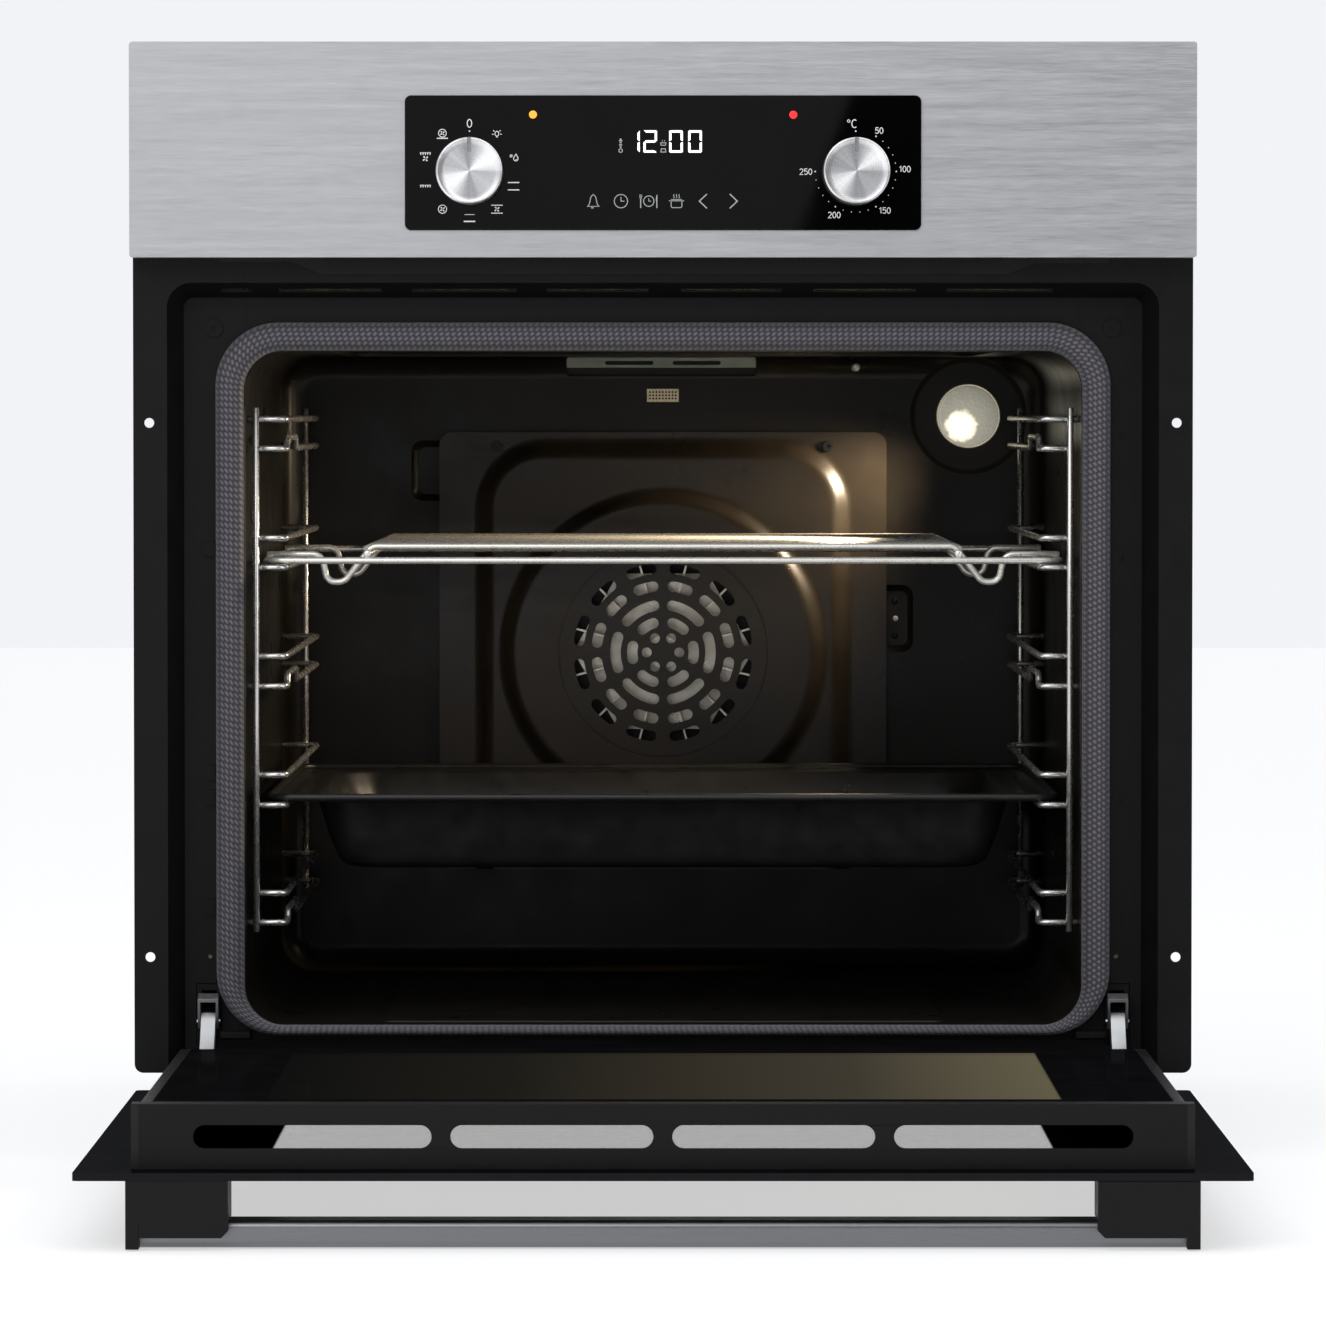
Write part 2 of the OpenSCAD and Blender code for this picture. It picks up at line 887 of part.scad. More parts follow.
module hinge_receivers() {
  color("#3a3b3c")
    stand()
      for (s = [-1, 1]) {
        difference() {
          union() {
            blk([s * hinge_x - 7, 46, 24.2], [s * hinge_x + 7, 90, 66]);
          }
          blk([s * hinge_x - 4.2, 44, 29.8], [s * hinge_x + 4.2, 88.4, 62]);
        }
      }
}

module hinge_bumpers() {
  color("#131314")
    stand()
      for (s = [-1, 1]) {
        blk([s * 241.4 - 8.4, 36, 35.8], [s * 241.4 + 8.4, 45, 39.5]);
      }
}

module hinge_latch(s) {
  color("#c9cbcc")
    stand()
      difference() {
        union() {
          along_x(s * hinge_x - 5.8, s * hinge_x - 4.3)
            polygon([[36, 41], [44, 41], [44, 59], [38, 61], [34, 58], [34, 48]]);
          along_x(s * hinge_x + 4.3, s * hinge_x + 5.8)
            polygon([[36, 41], [44, 41], [44, 59], [38, 61], [34, 58], [34, 48]]);
          along_x(s * hinge_x - 5.8, s * hinge_x + 5.8)
            polygon([[34, 56], [44, 56], [44, 59], [38, 61], [34, 58]]);
        }
        xcyl(40, 45, s * hinge_x - 8, s * hinge_x + 8, 1.5 + fit);
      }
}

module hinge_latch_left() {
  hinge_latch(-1);
}

module hinge_latch_right() {
  hinge_latch(1);
}

// ---- cooling blower ------------------------------------------------------

module duct_plate() {
  color("#a3a6a8")
    stand()
      difference() {
        blk([-276.9, 23, 463.5], [276.9, 540, 464.5]);
        for (x = [-200, 200]) {
          blk([x - 30, 400, 460], [x + 30, 410, 470]);
        }
      }
}

module blower_housing() {
  color("#b2b5b6")
    stand()
      difference() {
        union() {
          blk([-90, 250, 464.5], [90, 430, 506]);
          blk([-90, 60, 464.5], [90, 251, 486]);
        }
        translate([0, 340, 465.5])
          cylinder(h = 39.5, r = 78);
        translate([0, 340, 500])
          cylinder(h = 10, r = 48);
        blk([-89, 50, 465.5], [89, 275, 485]);
      }
}

module blower_motor() {
  color("#8e9192")
    stand()
      difference() {
        union() {
          translate([0, 340, 507.5])
            cylinder(h = 34, r = 32);
          blk([-70, 330, 506], [70, 350, 507.5]);
        }
        translate([0, 340, 500])
          cylinder(h = 30, r = 3 + fit);
      }
}

module blower_wheel() {
  color("#c4c6c7")
    stand()
      translate([0, 340, 0]) {
        translate([0, 0, 468])
          cylinder(h = 1.2, r = 62);
        translate([0, 0, 468])
          cylinder(h = 58, r = 3);
        translate([0, 0, 468])
          cylinder(h = 14, r = 9);
        translate([0, 0, 498])
          difference() {
            cylinder(h = 1.5, r = 62);
            translate([0, 0, -1])
              cylinder(h = 4, r = 50);
          }
        for (k = [0 : 23]) {
          rotate([0, 0, 15 * k])
            translate([55, 0, 469])
              rotate([0, 0, 35])
                translate([-6, -0.4, 0])
                  cube([12, 0.8, 29.5]);
        }
      }
}

// ---- control panel -------------------------------------------------------

module fascia() {
  color("#b9bcbe")
    stand()
      difference() {
        deep(0, 20)
          translate([0, fas_z0 + panel_h / 2])
            rrect(front_w, panel_h, 1.5);
        deep(1.2, 21)
          translate([0, fas_z0 + panel_h / 2])
            rrect(front_w - 2.4, panel_h - 2.4, 0.6);
        deep(-1, 2)
          translate([0, 527.5])
            rrect(glass_w - 16, glass_h - 16, 3);
      }
}

module panel_glass() {
  color("#0c0c0d")
    stand()
      difference() {
        deep(-1.5, 0)
          translate([0, 527.5])
            rrect(glass_w, glass_h, 3.5);
        for (s = [-1, 1]) {
          ycyl(s * knob_x, knob_z, -3, 2, 4.5);
        }
      }
}

module panel_carrier() {
  color("#2f3032")
    stand()
      difference() {
        union() {
          deep(1.2, 3.2)
            translate([0, 527.5])
              rrect(glass_w + 30, glass_h + 24, 3);
          for (x = [-150, 150]) {
            blk([x - 4, 3.2, 495], [x + 4, 20.9, 560]);
          }
        }
        for (s = [-1, 1]) {
          ycyl(s * knob_x, knob_z, 0, 5, 5);
          ycyl(s * 72.6, 554.4, 0, 5, 2.3);
        }
        blk([-58, 0, 500], [58, 5, 556]);
      }
}

module display_board() {
  color("#25482f")
    stand() {
      blk([-55, 8, 502], [55, 9.6, 553]);
      blk([-20, 1, 537], [25, 8, 552]);
      blk([-50, 4, 505], [50, 8, 515]);
    }
}

module switch_body(x) {
  stand()
    difference() {
      union() {
        blk([x - 20, 14, knob_z - 20], [x + 20, 46, knob_z + 20]);
        ycyl(x, knob_z, 3.2, 14, 8);
      }
      ycyl(x, knob_z, 0, 38, 3 + fit);
    }
}

module function_switch() {
  color("#d8d4c8")
    switch_body(-knob_x);
}

module thermostat_switch() {
  color("#c9b98f")
    switch_body(knob_x);
}

module indicator_lamps() {
  color("#e06a1c")
    stand()
      for (s = [-1, 1]) {
        ycyl(s * 72.6, 554.4, 0.2, 7, 2.2);
      }
}

module knob(x) {
  color("#c0c2c4")
    stand() {
      ycyl(x, knob_z, -1.7 - knob_h, -9, knob_d / 2 - 0.6);
      ycyl(x, knob_z, -1.2 - knob_h, -1.8, knob_d / 2);
      ycyl(x, knob_z, -3, 36, 3);
    }
}

module function_knob() {
  knob(-knob_x);
}

module temperature_knob() {
  knob(knob_x);
}

module terminal_block() {
  color("#e8e6df")
    stand()
      difference() {
        blk([-205, 540, 505], [-155, 565.9, 535]);
        ycyl(-180, 520, 552, 570, 6);
      }
}

// ---- door ----------------------------------------------------------------

module outer_glass() {
  color("#0b0b0c")
    laid()
      deep(0, glass_t)
        translate([0, (door_z0 + door_z1) / 2])
          rrect(front_w, door_h, 3);
}

module inner_glass() {
  color("#101112")
    laid()
      difference() {
        deep(door_t - glass_t, door_t)
          translate([0, 230])
            square([524, 444], center = true);
        for (s = [-1, 1]) {
          blk([s * 260 - 11, 20, 0], [s * 260 + 11, 40, 73]);
        }
      }
}

module door_trim_top() {
  color("#1a1a1b")
    laid()
      difference() {
        union() {
          blk([-269, 4, 452.5], [269, 37.5, 455]);
          blk([-269, 33, 441.5], [269, 37.5, 453]);
          for (s = [-1, 1]) {
            blk([s * 267.7 - 1.3, 4, 441.5], [s * 267.7 + 1.3, 34, 453]);
          }
        }
        for (p = [[-237.4, -117], [-107.4, -4.9], [4.7, 107.2], [116.8, 237.7]]) {
          translate([0, 0, 450])
            linear_extrude(8)
              slot2(p[0], p[1], 20.8, 11.8);
        }
        for (s = [-1, 1]) {
          deep(0, 40)
            polygon([[s * 264.5, 455.5], [s * 269.5, 455.5], [s * 269.5, 450.5]]);
        }
      }
}

module door_profile(s) {
  color("#1f2021")
    laid() {
      blk([min(s * 266.5, s * 268), 4, 73], [max(s * 266.5, s * 268), 33, 441.4]);
      blk([min(s * 249, s * 268), 4, 73], [max(s * 249, s * 268), 5.5, 441.4]);
      blk([min(s * 262.2, s * 268), 31.5, 73], [max(s * 262.2, s * 268), 33, 441.4]);
    }
}

module door_profile_left() {
  door_profile(-1);
}

module door_profile_right() {
  door_profile(1);
}

module door_bottom_trim() {
  color("#1a1a1b")
    laid() {
      blk([-246, 4, 8], [246, 29, 9.2]);
      blk([-246, 4, 9.2], [246, 5.2, 24]);
      blk([-246, 27.8, 9.2], [246, 29, 24]);
    }
}

module hinge_channel(s) {
  color("#a9abac")
    laid()
      difference() {
        blk([s * hinge_x - 8, 5.6, 13], [s * hinge_x + 8, 27.5, 340]);
        blk([s * hinge_x - 6.5, 7.1, 12], [s * hinge_x + 6.5, 30, 341]);
        xcyl(hinge_y, hinge_z, s * hinge_x - 10, s * hinge_x + 10, pin_r + fit);
      }
}

module hinge_channel_left() {
  hinge_channel(-1);
}

module hinge_channel_right() {
  hinge_channel(1);
}

module handle_bar() {
  color("#c6c8ca")
    laid()
      along_x(-bar_l / 2, bar_l / 2)
        translate([-27.75, 439 + bar_h / 2])
          rrect(bar_t, bar_h, 4);
}

module handle_bracket(s) {
  color("#1d1d1e")
    laid()
      difference() {
        union() {
          blk([min(s * 219, s * 264), -28.9, 463], [max(s * 219, s * 264), 0, 470.5]);
          blk([min(s * 219, s * 264), -20.8, 438], [max(s * 219, s * 264), 0, 463.1]);
          blk([min(s * 264, s * 270.7), -34.7, 438],
            [max(s * 264.1, s * 270.7), 0, 470.5]);
          blk([min(s * 263, s * 265), -20.8, 438], [max(s * 263, s * 265), 0, 470.5]);
        }
        rise(430, 480)
          polygon([[s * 215, -30], [s * 223.5, -30], [s * 215, -21]]);
      }
}

module handle_bracket_left() {
  handle_bracket(-1);
}

module handle_bracket_right() {
  handle_bracket(1);
}

// ---- assembly ------------------------------------------------------------

base_plate();
side_panel_left();
side_panel_right();
rear_panel();
top_cover();
front_frame();
air_outlet_lip();
cavity();
cavity_insulation();
door_gasket();
fan_cover();
fan_cover_screws();
ring_element();
grill_element();
bottom_element();
fan_motor();
lamp_housing();
lamp_bulb();
lamp_lens();
vent_plate();
steam_mesh();
temperature_probe();
rack_left();
rack_right();
frame_plugs();
frame_rivets();
hinge_arm_left();
hinge_arm_right();
hinge_receivers();
hinge_bumpers();
duct_plate();
blower_housing();
blower_motor();
fascia();
panel_glass();
panel_carrier();
display_board();
function_switch();
thermostat_switch();
indicator_lamps();
terminal_block();
outer_glass();
inner_glass();
door_trim_top();
door_profile_left();
door_profile_right();
door_bottom_trim();
hinge_channel_left();
hinge_channel_right();
handle_bar();
handle_bracket_left();
handle_bracket_right();
function_knob();
temperature_knob();
convection_fan();
blower_wheel();
grid_shelf();
deep_tray();
hinge_latch_left();
hinge_latch_right();
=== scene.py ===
import bmesh
import bpy
import math
import numpy as np
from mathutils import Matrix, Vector


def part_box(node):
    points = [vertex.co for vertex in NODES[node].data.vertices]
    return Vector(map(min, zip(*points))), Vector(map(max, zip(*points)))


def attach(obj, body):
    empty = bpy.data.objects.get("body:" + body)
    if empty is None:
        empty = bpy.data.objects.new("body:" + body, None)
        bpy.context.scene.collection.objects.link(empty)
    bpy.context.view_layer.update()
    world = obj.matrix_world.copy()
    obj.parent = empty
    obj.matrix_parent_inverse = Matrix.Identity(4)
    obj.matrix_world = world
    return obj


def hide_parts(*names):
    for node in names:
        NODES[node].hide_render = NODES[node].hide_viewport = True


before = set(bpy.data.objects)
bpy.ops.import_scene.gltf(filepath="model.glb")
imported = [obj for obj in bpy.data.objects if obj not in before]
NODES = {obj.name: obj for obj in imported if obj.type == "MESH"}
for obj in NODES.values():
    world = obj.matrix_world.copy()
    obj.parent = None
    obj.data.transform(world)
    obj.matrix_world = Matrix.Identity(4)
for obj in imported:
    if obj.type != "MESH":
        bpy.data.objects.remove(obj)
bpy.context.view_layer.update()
SCENE = bpy.context.scene

# Places are written as in the CAD source, in millimetres: x from the middle, t the depth
# behind the fascia's face, z the height above the front's lower line.
FASCIA_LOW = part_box("fascia")[0]
T_ZERO = FASCIA_LOW.y
Z_ZERO = FASCIA_LOW.z - 0.475


def point(x, t, z):
    return Vector((x / 1000, T_ZERO + t / 1000, Z_ZERO + z / 1000))


# ---------------------------------------------------------------- shader nodes
def new_material(name):
    """A material with one Principled shader: (material, tree, shader, output)."""
    mat = bpy.data.materials.new(name)
    mat.use_nodes = True
    tree = mat.node_tree
    tree.nodes.clear()
    out = tree.nodes.new("ShaderNodeOutputMaterial")
    bsdf = tree.nodes.new("ShaderNodeBsdfPrincipled")
    tree.links.new(bsdf.outputs[0], out.inputs[0])
    return mat, tree, bsdf, out


def feed(tree, made, inputs):
    """Sets inputs by name or number: a socket is linked, anything else is a value."""
    for key, value in inputs.items():
        if isinstance(value, bpy.types.NodeSocket):
            tree.links.new(value, made.inputs[key])
        else:
            made.inputs[key].default_value = value


def node(tree, kind, inputs=None, **settings):
    made = tree.nodes.new("ShaderNode" + kind)
    for key, value in settings.items():
        setattr(made, key, value)
    feed(tree, made, inputs or {})
    return made


def coords(tree, scale=(1, 1, 1)):
    """Object coordinates in metres, multiplied per axis."""
    source = node(tree, "TexCoord").outputs["Object"]
    return node(tree, "Mapping", {0: source, "Scale": scale}).outputs[0]


def noise(tree, vector, scale, detail=4.0, rough=0.55):
    made = node(tree, "TexNoise", {"Vector": vector, "Scale": scale, "Detail": detail, "Roughness": rough})
    return made.outputs[0]


def ramp(tree, factor, stops):
    """A colour ramp with (position, colour) stops."""
    made = node(tree, "ValToRGB", {0: factor})
    marks = made.color_ramp.elements
    while len(marks) > 1:
        marks.remove(marks[0])
    marks[0].position = stops[0][0]
    marks[0].color = (*stops[0][1], 1)
    for position, colour in stops[1:]:
        marks.new(position).color = (*colour, 1)
    return made.outputs[0]


def remap(tree, value, to_low, to_high, low=0.0, high=1.0):
    """Maps low..high to to_low..to_high."""
    ends = {"Value": value, "From Min": low, "From Max": high, "To Min": to_low, "To Max": to_high}
    return node(tree, "MapRange", ends).outputs[0]


def maths(tree, operation, *values):
    return node(tree, "Math", dict(enumerate(values)), operation=operation).outputs[0]


def blend(tree, share, first, second):
    """A number that goes from first to second."""
    return node(tree, "Mix", {0: share, 2: first, 3: second}, data_type="FLOAT").outputs[0]


def blend_shaders(tree, share, first, second):
    return node(tree, "MixShader", {0: share, 1: first, 2: second}).outputs[0]


def bump(tree, height, strength, depth, under=None):
    """Bump from a height, laid on a coarser bump if there is one under it."""
    made = node(tree, "Bump", {"Strength": strength, "Distance": depth, "Height": height})
    if under is not None:
        tree.links.new(under, made.inputs["Normal"])
    return made.outputs[0]


def tint(colour, factor):
    return tuple(min(1, max(0, value * factor)) for value in colour)


def split_axes(tree, source="Object"):
    """Three outputs x, y, z of the object coordinates, or u and v of the UV ones."""
    return node(tree, "SeparateXYZ", {0: node(tree, "TexCoord").outputs[source]}).outputs


# ---------------------------------------------------------------- plain materials
def plain(name, colour, rough, metal, spread, grain_scale, strength, depth, bump_scale,
          specular=0.5, rough_spread=0.08, stretch=(1, 1, 1), coat=0.0):
    """Colour, roughness and bump from noise at two scales."""
    mat, tree, bsdf, _ = new_material(name)
    place = coords(tree, stretch)
    grain = noise(tree, place, grain_scale, 5)
    feed(tree, bsdf, {
        "Base Color": ramp(tree, grain, [(0.3, tint(colour, 1 - spread)), (0.7, tint(colour, 1 + spread))]),
        "Roughness": remap(tree, grain, max(0.02, rough - rough_spread), rough + rough_spread, 0.3, 0.7),
        "Metallic": metal,
        "Specular IOR Level": specular,
        "Normal": bump(tree, noise(tree, place, bump_scale, 3), strength, depth)})
    if coat:
        feed(tree, bsdf, {"Coat Weight": coat, "Coat Roughness": 0.08})
    return mat


# Each row: name, colour, roughness, metallic, colour spread, grain scale, bump strength, bump
# depth in metres, bump scale; then, where unusual: specular, rough spread, stretch, coat.
PLAIN = {
    "galv": ("galvanised_sheet", (0.42, 0.435, 0.445), 0.42, 1.0, 0.07, 60, 0.12, 0.0004, 300, 0.5, 0.12),
    "zinc": ("zinc_plated_steel", (0.50, 0.51, 0.515), 0.36, 1.0, 0.08, 120, 0.06, 0.0001, 1400),
    "frame": ("black_frame_enamel", (0.0046, 0.0046, 0.0048), 0.42, 0.0, 0.12, 55, 0.22, 0.00025, 1500,
              0.14, 0.05),
    "lip": ("lip_black_enamel", (0.0055, 0.0055, 0.0057), 0.42, 0.0, 0.10, 60, 0.2, 0.00025, 1400, 0.18),
    "tray": ("tray_black_enamel", (0.0100, 0.0098, 0.0095), 0.34, 0.0, 0.15, 70, 0.10, 0.0002, 700, 0.38),
    "trim": ("trim_black_plastic", (0.0062, 0.0062, 0.0064), 0.48, 0.0, 0.08, 90, 0.40, 0.00012, 4200, 0.15),
    "rubber": ("black_plug_plastic", (0.0042, 0.0042, 0.0045), 0.5, 0.0, 0.1, 200, 0.3, 0.0001, 3000, 0.15),
    "dark_screw": ("black_screw", (0.010, 0.0095, 0.009), 0.4, 0.0, 0.15, 400, 0.2, 0.0001, 2000, 0.35),
    "coated": ("black_coated_steel", (0.007, 0.007, 0.0075), 0.40, 0.0, 0.12, 90, 0.2, 0.0002, 1600, 0.2),
    # painted light: the shelf's wire is the racks' chrome made paler, warmer and less metallic so that it looks
    # lit
    "wire": ("chrome_wire", (0.80, 0.78, 0.72), 0.28, 0.60, 0.04, 160, 0.01, 0.00003, 900, 0.5, 0.05),
    "rack_wire": ("rack_chrome_wire", (0.66, 0.65, 0.63), 0.26, 0.90, 0.06, 160, 0.01, 0.00003, 900, 0.5, 0.06),
    "latch": ("latch_dark_zinc", (0.20, 0.20, 0.205), 0.38, 1.0, 0.10, 160, 0.06, 0.0001, 1400),
    "heater": ("heater_sheath", (0.13, 0.12, 0.11), 0.45, 1.0, 0.3, 120, 0.2, 0.0002, 900),
    "motor": ("motor_core", (0.42, 0.43, 0.44), 0.4, 1.0, 0.15, 60, 0.6, 0.0003, 1.0, 0.5, 0.08,
              (1, 1500, 1500)),
    "wool": ("glass_wool", (0.62, 0.55, 0.33), 0.95, 0.0, 0.3, 120, 0.9, 0.003, 260, 0.1),
    "ceramic": ("lamp_ceramic", (0.70, 0.68, 0.62), 0.5, 0.0, 0.06, 120, 0.1, 0.0003, 500),
    "probe": ("white_probe", (0.80, 0.79, 0.75), 0.35, 0.0, 0.05, 300, 0.1, 0.0001, 900),
    "vent": ("vent_grey_green", (0.30, 0.35, 0.30), 0.5, 0.0, 0.12, 90, 0.2, 0.0003, 900),
    "mesh": ("steam_mesh_beige", (0.86, 0.76, 0.54), 0.45, 0.3, 0.2, 700, 0.3, 0.0002, 1500),
    "fan": ("fan_aluminium", (0.68, 0.64, 0.56), 0.34, 1.0, 0.12, 70, 0.2, 0.0003, 600, 0.5, 0.1),
    "carrier": ("carrier_plastic", (0.03, 0.03, 0.032), 0.5, 0.0, 0.1, 100, 0.3, 0.0002, 1500),
    "pcb": ("circuit_board", (0.015, 0.10, 0.04), 0.3, 0.0, 0.3, 260, 0.2, 0.0002, 900, 0.5, 0.08,
            (1, 1, 1), 0.3),
    "switch": ("switch_plastic", (0.55, 0.50, 0.40), 0.45, 0.0, 0.08, 100, 0.2, 0.0002, 1200),
    "white": ("terminal_white", (0.75, 0.74, 0.70), 0.45, 0.0, 0.05, 100, 0.2, 0.0002, 1200),
    "print": ("white_print", (0.74, 0.75, 0.75), 0.55, 0.0, 0.05, 700, 0.1, 0.00002, 3000),
    "print_dim": ("grey_print", (0.36, 0.37, 0.37), 0.55, 0.0, 0.05, 700, 0.1, 0.00002, 3000),
    "knob_rim": ("knob_rim_steel", (0.55, 0.55, 0.56), 0.3, 1.0, 0.1, 1.0, 0.2, 0.0001, 1500, 0.5, 0.08,
                 (1, 900, 1)),
    "pointer": ("knob_pointer_groove", (0.30, 0.30, 0.30), 0.45, 1.0, 0.1, 400, 0.1, 0.0001, 900),
}
M = {key: plain(*row) for key, row in PLAIN.items()}


# ---------------------------------------------------------------- special materials
def brushed(name, colour, rough, strength, streak):
    """Steel brushed along X: long fine scratches in colour, gloss and bump."""
    mat, tree, bsdf, _ = new_material(name)
    fine = 2600
    scratches = noise(tree, coords(tree, (fine / 42, fine, fine)), 1.0, 6, 0.65)
    bands = noise(tree, coords(tree, (fine / 260, fine / 9, fine / 9)), 1.0, 4, 0.6)
    grain = blend(tree, 0.35, scratches, bands)
    stops = [(0.35, tint(colour, 1 - streak)), (0.5, colour), (0.65, tint(colour, 1 + streak))]
    feed(tree, bsdf, {
        "Base Color": ramp(tree, grain, stops),
        "Roughness": remap(tree, grain, rough - 0.07, rough + 0.09, 0.35, 0.65),
        "Metallic": 1.0,
        "Anisotropic": 0.35,
        "Normal": bump(tree, grain, strength, 0.00008)})
    return mat


def enamel(name, colour, specular):
    """Oven liner enamel: glossy, faintly wavy, with fine pale flecks."""
    mat, tree, bsdf, _ = new_material(name)
    rough = 0.30
    place = coords(tree)
    cloud = noise(tree, place, 26, 4)
    speckle = noise(tree, place, 1500, 2, 0.5)
    base = ramp(tree, cloud, [(0.3, tint(colour, 0.82)), (0.7, tint(colour, 1.2))])
    flecks = ramp(tree, speckle, [(0.66, (0, 0, 0)), (0.74, (1, 1, 1))])
    pale = (*tint(colour, 3.1), 1)
    waves = bump(tree, noise(tree, place, 32, 2), 0.05, 0.0012)
    feed(tree, bsdf, {
        "Base Color": node(tree, "Mix", {0: flecks, 6: base, 7: pale}, data_type="RGBA").outputs[2],
        "Roughness": remap(tree, cloud, rough - 0.04, rough + 0.08, 0.3, 0.7),
        "Specular IOR Level": specular,
        "Normal": bump(tree, speckle, 0.12, 0.0002, waves)})
    return mat


def knob_metal(name):
    """Turned steel: the grain runs round the axis, so its gloss stretches into rays; bright rays are also
    painted into the colour as highlights.
    """
    mat, tree, bsdf, _ = new_material(name)
    x, _, z = split_axes(tree)
    flat = node(tree, "CombineXYZ", {0: x, 1: z}).outputs[0]
    radius = node(tree, "VectorMath", {0: flat}, operation="LENGTH").outputs["Value"]
    turning = node(tree, "TexNoise", {"W": radius, "Scale": 3800, "Detail": 3}, noise_dimensions="1D")
    # painted highlights: two and four bright sectors round the axis, broken up by noise along the angle
    angle = maths(tree, "ARCTAN2", z, x)
    twice = maths(tree, "MULTIPLY_ADD", angle, 2.0, -1.45)
    two = maths(tree, "COSINE", twice)
    four = maths(tree, "COSINE", maths(tree, "MULTIPLY", twice, 2.0))
    highlight_sectors = remap(tree, maths(tree, "ADD", two, four), 0.0, 1.0, -1.3, 1.9)
    uneven = node(tree, "TexNoise", {"W": angle, "Scale": 3.2, "Detail": 4}, noise_dimensions="1D")
    painted_rays = blend(tree, 0.4, highlight_sectors, uneven.outputs[0])
    # the base colour runs from grey to white with the painted highlight rays
    feed(tree, bsdf, {
        "Base Color": ramp(tree, painted_rays, [(0.15, (0.46, 0.46, 0.47)), (0.45, (0.74, 0.74, 0.75)),
                                         (0.85, (1.0, 1.0, 1.0))]),
        "Roughness": remap(tree, turning.outputs[0], 0.24, 0.36, 0.3, 0.7),
        "Metallic": 1.0,
        "Anisotropic": 0.75,
        "Tangent": node(tree, "Tangent", direction_type="RADIAL", axis="Y").outputs[0],
        "Normal": bump(tree, turning.outputs[0], 0.15, 0.00003)})
    return mat


def gasket_mat():
    """Braided glass fibre: UV u runs along the seal, v across it, both in metres."""
    mat, tree, bsdf, _ = new_material("gasket_braid")
    stitch_length, stitch_width, slant = 0.0034, 0.00275, 0.42
    uv = node(tree, "TexCoord").outputs["UV"]
    u, v, _ = node(tree, "SeparateXYZ", {0: uv}).outputs
    along = maths(tree, "MULTIPLY", u, 1 / stitch_length)
    across = maths(tree, "MULTIPLY", v, 1 / stitch_width)
    # every second row is half a stitch further on, and each stitch leans
    shifted = maths(tree, "ADD", along, maths(tree, "MULTIPLY", maths(tree, "FLOOR", across), 0.5))
    leaning = maths(tree, "ADD", shifted, maths(tree, "MULTIPLY", across, slant))

    def from_middle(value):
        """How far a place is from the middle of its stitch, which is the highest there."""
        return maths(tree, "ABSOLUTE", maths(tree, "SUBTRACT", maths(tree, "FRACT", value), 0.5))

    edge = maths(tree, "ADD", maths(tree, "MULTIPLY", from_middle(leaning), 1.25),
                 maths(tree, "MULTIPLY", from_middle(across), 0.85))
    height = blend(tree, 0.28, remap(tree, edge, 1.0, 0.0, 0.12, 0.72), noise(tree, uv, 420, 4))
    yarn = node(tree, "TexWave", {"Vector": uv, "Scale": 900, "Distortion": 2.0},
                wave_type="BANDS", bands_direction="DIAGONAL")
    # painted shade and light: the colour is darkest where the stitches dip and palest on their crowns,
    # following the height
    feed(tree, bsdf, {
        "Base Color": ramp(tree, height, [(0.12, (0.032, 0.029, 0.036)), (0.38, (0.058, 0.054, 0.064)),
                                          (0.62, (0.098, 0.093, 0.106)), (0.9, (0.145, 0.139, 0.155))]),
        "Roughness": remap(tree, height, 0.85, 0.55, 0.2, 0.9),
        "Sheen Weight": 0.15,
        "Specular IOR Level": 0.35,
        "Normal": bump(tree, height, 0.7, 0.0006, bump(tree, yarn.outputs[0], 0.25, 0.0002))})
    return mat


WINDOW_NEAR, WINDOW_FAR = T_ZERO - 0.334, T_ZERO - 0.054     # y of the clear window, door open


def printed_glass(name, half_window, colour, painted_reflection=None):
    """Door glass with a black printed border round a clear window.

    the last argument: (share, colours from left to right) of a painted reflection, a warm glow on the window.
    """
    mat, tree, bsdf, out = new_material(name)
    soft = 0.0006
    cloud = noise(tree, coords(tree), 30, 3)
    feed(tree, bsdf, {
        "Base Color": ramp(tree, cloud, [(0.3, (0.0030, 0.0030, 0.0034)), (0.7, (0.0045, 0.0045, 0.0050))]),
        "Roughness": remap(tree, cloud, 0.03, 0.06, 0.3, 0.7),
        "Specular IOR Level": 0.0})
    gloss = node(tree, "BsdfGlossy", {"Color": (0.9, 0.92, 0.95, 1), "Roughness": 0.03}).outputs[0]
    print_side = blend_shaders(tree, 0.010, bsdf.outputs[0], gloss)
    glass = node(tree, "BsdfPrincipled", {"Transmission Weight": 1.0, "IOR": 1.03, "Roughness": 0.0,
                                          "Base Color": (*colour, 1)}).outputs[0]
    window = blend_shaders(tree, 0.03, glass, gloss)
    x, y, _ = split_axes(tree)
    if painted_reflection:
        share, colours = painted_reflection
        across = remap(tree, x, 0.0, 1.0, -half_window, half_window)
        # painted reflection: the window glows from dark at the left to warm and brighter at the right
        reflection_glow = node(tree, "Emission", {0: ramp(tree, across, colours)})
        window = blend_shaders(tree, share, window, reflection_glow.outputs[0])
    sides = remap(tree, maths(tree, "ABSOLUTE", x), 1.0, 0.0, half_window - soft, half_window + soft)
    near = remap(tree, y, 0.0, 1.0, WINDOW_NEAR - soft, WINDOW_NEAR + soft)
    far = remap(tree, y, 1.0, 0.0, WINDOW_FAR - soft, WINDOW_FAR + soft)
    clear = maths(tree, "MULTIPLY", maths(tree, "MULTIPLY", sides, near), far)
    tree.links.new(blend_shaders(tree, clear, print_side, window), out.inputs[0])
    return mat


def panel_glass_mat():
    mat, tree, bsdf, _ = new_material("panel_black_glass")
    cloud = noise(tree, coords(tree), 30, 3)
    feed(tree, bsdf, {
        "Base Color": ramp(tree, cloud, [(0.3, (0.0010, 0.0010, 0.0011)), (0.7, (0.0014, 0.0014, 0.0015))]),
        "Roughness": remap(tree, cloud, 0.02, 0.035, 0.3, 0.7),
        "Specular IOR Level": 0.13})
    return mat


